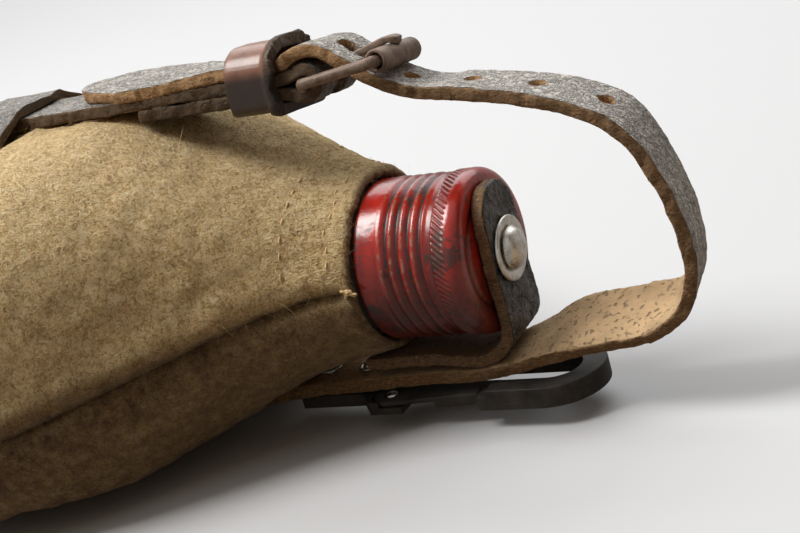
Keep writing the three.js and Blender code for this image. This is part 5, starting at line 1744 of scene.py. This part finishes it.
def on_pin(x, y):
    return on_hook @ Matrix.Translation((x, y, 0)) @ Matrix.Rotation(-math.pi / 2, 4, "Y")


pin_profile = domed_pin(PIN_RADIUS, 2 * PIN_RADIUS, 0.2)
pin_seat = on_pin(*GATE_PIVOT)
pin = turned_piece("gate_pin", pin_profile, nickel, "flask", "bright_steel", seat=pin_seat, close=False)
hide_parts("hook_gate_pin")
BURR_LIFT = LEATHER + 1.2
BURR_SHEET = 0.5
burr_top = BURR_LIFT + BURR_SHEET
rivet_profile = domed_pin(HOOK_RIVET, HOOK_RIVET_HEAD, burr_top + 0.4)
burr_profile = [(BURR_LIFT, 1.85), (BURR_LIFT, 2.9), (burr_top, 2.8), (burr_top, 1.85)]
for i, x in enumerate(RIVET_PLACES):
    made_like = {"finish": nickel, "body": "flask", "slot": "bright_steel", "seat": on_pin(x, 0)}
    held_by = turned_piece(f"hook_rivet_head_{i + 1}", rivet_profile, close=False, **made_like)
    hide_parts(f"hook_rivet_{i + 1}")
    closed_over = turned_piece(f"hook_burr_{i + 1}", burr_profile, **made_like)
    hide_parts(f"hook_rivet_burr_{i + 1}")


# Closing flap
# A strip of the same felt along the far side, sewn to the front panel and closed over the back panel by
# three press studs, so that the bottle can be taken out.
FLAP_FELT = 2.4
FLAP_START = 24.0
FLAP_END = 80.0
FLAP_REACH = (0.16, -0.3)
STUD_COUNT = 3
STUD_REACH = -0.1


def flap_point(below, reach, lift):
    size = body_sizes(below, 0)
    if reach > 0:
        share = math.sqrt(1 - reach**2)
        height = front_height(size, share)
    else:
        share = math.sqrt(1 - (0.75 * reach) ** 2)
        height = back_height(size, share)
    return (-below, float(size["half_width"]) * share + lift, float(height))


flap_outline = strip_outline(2.0, FLAP_FELT, 0.5, count=21)
flap_rows = []
for below in np.linspace(FLAP_START, FLAP_END, 90):
    middle = sum(FLAP_REACH) / 2
    half = (FLAP_REACH[0] - FLAP_REACH[1]) / 2
    row = [
        flap_point(below, middle + half * across, CLEARANCE + FLAP_FELT / 2 + out)
        for across, out, flesh, edge in flap_outline
    ]
    flap_rows.append(row)
flap_points = np.array(flap_rows)
flap_points[..., 1] += 0.1 * lumps(flap_points, 3.0, 101)
flap = add_piece("side_flap", flap_points, capped_faces(*flap_points.shape[:2]), felt, "flask", "felt")
carry(flap, "dirt_and_shade", 0.1 + 0.6 * np.repeat(flap_outline[None, :, 3], len(flap_rows), 0))
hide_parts("closing_flap")

STUD = [
    (0.0, 0.0),
    (0.0, 5.3),
    (0.2, 5.5),
    (0.7, 5.5),
    (1.0, 5.2),
    (1.5, 4.0),
    (1.8, 2.4),
    (1.7, 1.0),
    (1.68, 0.0),
]
for i in range(STUD_COUNT):
    below = mix(FLAP_START, FLAP_END, (i + 0.7) / (STUD_COUNT + 0.2))
    lift = CLEARANCE + FLAP_FELT
    down = np.subtract(flap_point(below - 1, STUD_REACH, lift), flap_point(below + 1, STUD_REACH, lift))
    over = np.subtract(
        flap_point(below, STUD_REACH + 0.05, lift), flap_point(below, STUD_REACH - 0.05, lift)
    )
    out = np.cross(down, over)
    out *= math.copysign(1, out[1]) / np.linalg.norm(out)
    side = unit(np.cross(out, (0, 0, 1)))
    seat = np.eye(4)
    seat[:3, 0], seat[:3, 1], seat[:3, 2] = out, side, np.cross(out, side)
    seat[:3, 3] = np.array(flap_point(below, STUD_REACH, lift)) + (CLEARANCE + 0.35) * out
    stud = turned_piece(f"stud_{i + 1}", STUD, nickel, "flask", "bright_steel", seat=seat, close=False)
    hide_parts(f"press_stud_{i + 1}")


# Stage
# A plain pale floor that fades into a pale room, a large soft lamp overhead, a window behind, a smaller one
# at the left, and the camera at the photo's place. The floor and the lamps are set out in metres.
FLOOR_REACH = 6.0
FLOOR_SEEN = (0.735, 0.745, 0.765)
FLOOR_BOUNCE = (0.20, 0.155, 0.115)
ROOM_SEEN = (1.0, 0.98, 0.95)
ROOM_BOUNCE = (1.0, 0.80, 0.62)
FADE = (0.8, 2.4)
PALE = 0.87
ROOM_FILL = 0.14
FLOOR_MIRRORED = 0.28
ROOM_MIRRORED = 0.45
floor_mesh = bpy.data.meshes.new("floor")
floor_corners = [(FLOOR_REACH * x, FLOOR_REACH * y, 0) for x, y in ((-1, -1), (1, -1), (1, 1), (-1, 1))]
floor_mesh.from_pydata(floor_corners, [], [(0, 1, 2, 3)])
floor = placed("floor", floor_mesh)
paper, paper_tree, paper_shader = new_finish("pale_table", 0.6)
paper_shader.inputs["Specular IOR Level"].default_value = 0.2


def seen_pale(tree, mirrored_share):
    """One where the camera sees a surface, and a share where a piece mirrors it."""
    rays = tree.nodes.new("ShaderNodeLightPath").outputs
    passed_on = reckon(tree, "MAXIMUM", rays["Is Glossy Ray"], rays["Is Transmission Ray"])
    mirrored = reckon(tree, "MULTIPLY", passed_on, mirrored_share)
    return reckon(tree, "MAXIMUM", rays["Is Camera Ray"], mirrored)


seen = seen_pale(paper_tree, FLOOR_MIRRORED)
floor_place = {"Vector": own_space(paper_tree)}
far_off = add_node(paper_tree, "ShaderNodeVectorMath", floor_place, operation="LENGTH").outputs["Value"]
faded = ranged(paper_tree, far_off, *FADE)
lit_shade = blended(paper_tree, seen, FLOOR_BOUNCE, FLOOR_SEEN)
plug(paper_tree, paper_shader.inputs["Base Color"], blended(paper_tree, faded, lit_shade, (0.0, 0.0, 0.0)))
paper_shader.inputs["Emission Color"].default_value = (1.0, 0.99, 0.98, 1.0)
glow = reckon(paper_tree, "MULTIPLY", reckon(paper_tree, "MULTIPLY", faded, seen), PALE)
plug(paper_tree, paper_shader.inputs["Emission Strength"], glow)
floor_mesh.materials.append(paper)

world = bpy.data.worlds.new("room")
bpy.context.scene.world = world
world.use_nodes = True
room = world.node_tree
sky = room.nodes["Background"]
pale = seen_pale(room, ROOM_MIRRORED)
seen_share = ranged(room, pale, 0.0, ROOM_MIRRORED)
plug(room, sky.inputs["Color"], blended(room, seen_share, ROOM_BOUNCE, ROOM_SEEN))
plug(room, sky.inputs["Strength"], ranged(room, pale, 0.0, 1.0, ROOM_FILL, PALE))


def add_lamp(name, place, aim, size, watts, colour):
    lamp = bpy.data.lights.new(name, "AREA")
    lamp.shape = "RECTANGLE"
    lamp.size, lamp.size_y = size
    lamp.energy = watts
    lamp.color = colour
    held = placed(name, lamp)
    look = unit(np.array(aim) - np.array(place))
    side = unit(np.cross(look, (0, 0, 1)))
    rise = np.cross(side, look)
    turn = np.eye(4)
    turn[:3, 0], turn[:3, 1], turn[:3, 2], turn[:3, 3] = side, rise, -look, place
    held.matrix_world = Matrix(turn.tolist())


DAYLIGHT = (0.96, 0.985, 1.0)
add_lamp("overhead", (-0.2, 0.2, 1.6), (-0.1, 0.1, 0.04), (2.8, 2.6), 7, DAYLIGHT)
add_lamp("far_window", (-0.2, 1.2, 1.2), (-0.1, 0.15, 0.04), (2.2, 1.3), 16.5, DAYLIGHT)
add_lamp("side_window", (-0.66, -0.34, 1.21), (0.0, 0.0, 0.04), (0.6, 0.6), 16, (1.0, 0.985, 0.96))

CAMERA_TURN = 31.94
CAMERA_RISE = 17.96
CAMERA_ROLL = -15.82
CAMERA_DISTANCE = 355.3
NECK_ASIDE = (-1.426, 1.852)
LENS = 72
SENSOR = 36
turn, rise, roll = np.radians([CAMERA_TURN, CAMERA_RISE, CAMERA_ROLL])
back = np.array([math.sin(turn) * math.cos(rise), -math.cos(turn) * math.cos(rise), math.sin(rise)])
level = np.array([math.cos(turn), math.sin(turn), 0])
upward = np.cross(back, level)
axes = np.array([
    math.cos(roll) * level + math.sin(roll) * upward,
    -math.sin(roll) * level + math.cos(roll) * upward,
    back,
])
view_data = bpy.data.cameras.new("camera")
view_data.lens = LENS
view_data.sensor_width = SENSOR
view_data.clip_start = 0.01
camera = placed("camera", view_data)
stand = np.eye(4)
stand[:3, :3] = axes.T
stand[:3, 3] = axes.T @ np.array([-NECK_ASIDE[0], -NECK_ASIDE[1], CAMERA_DISTANCE]) * MM + NECK
camera.matrix_world = Matrix(stand.tolist())
bpy.context.scene.camera = camera
bpy.context.scene.view_settings.view_transform = "Standard"
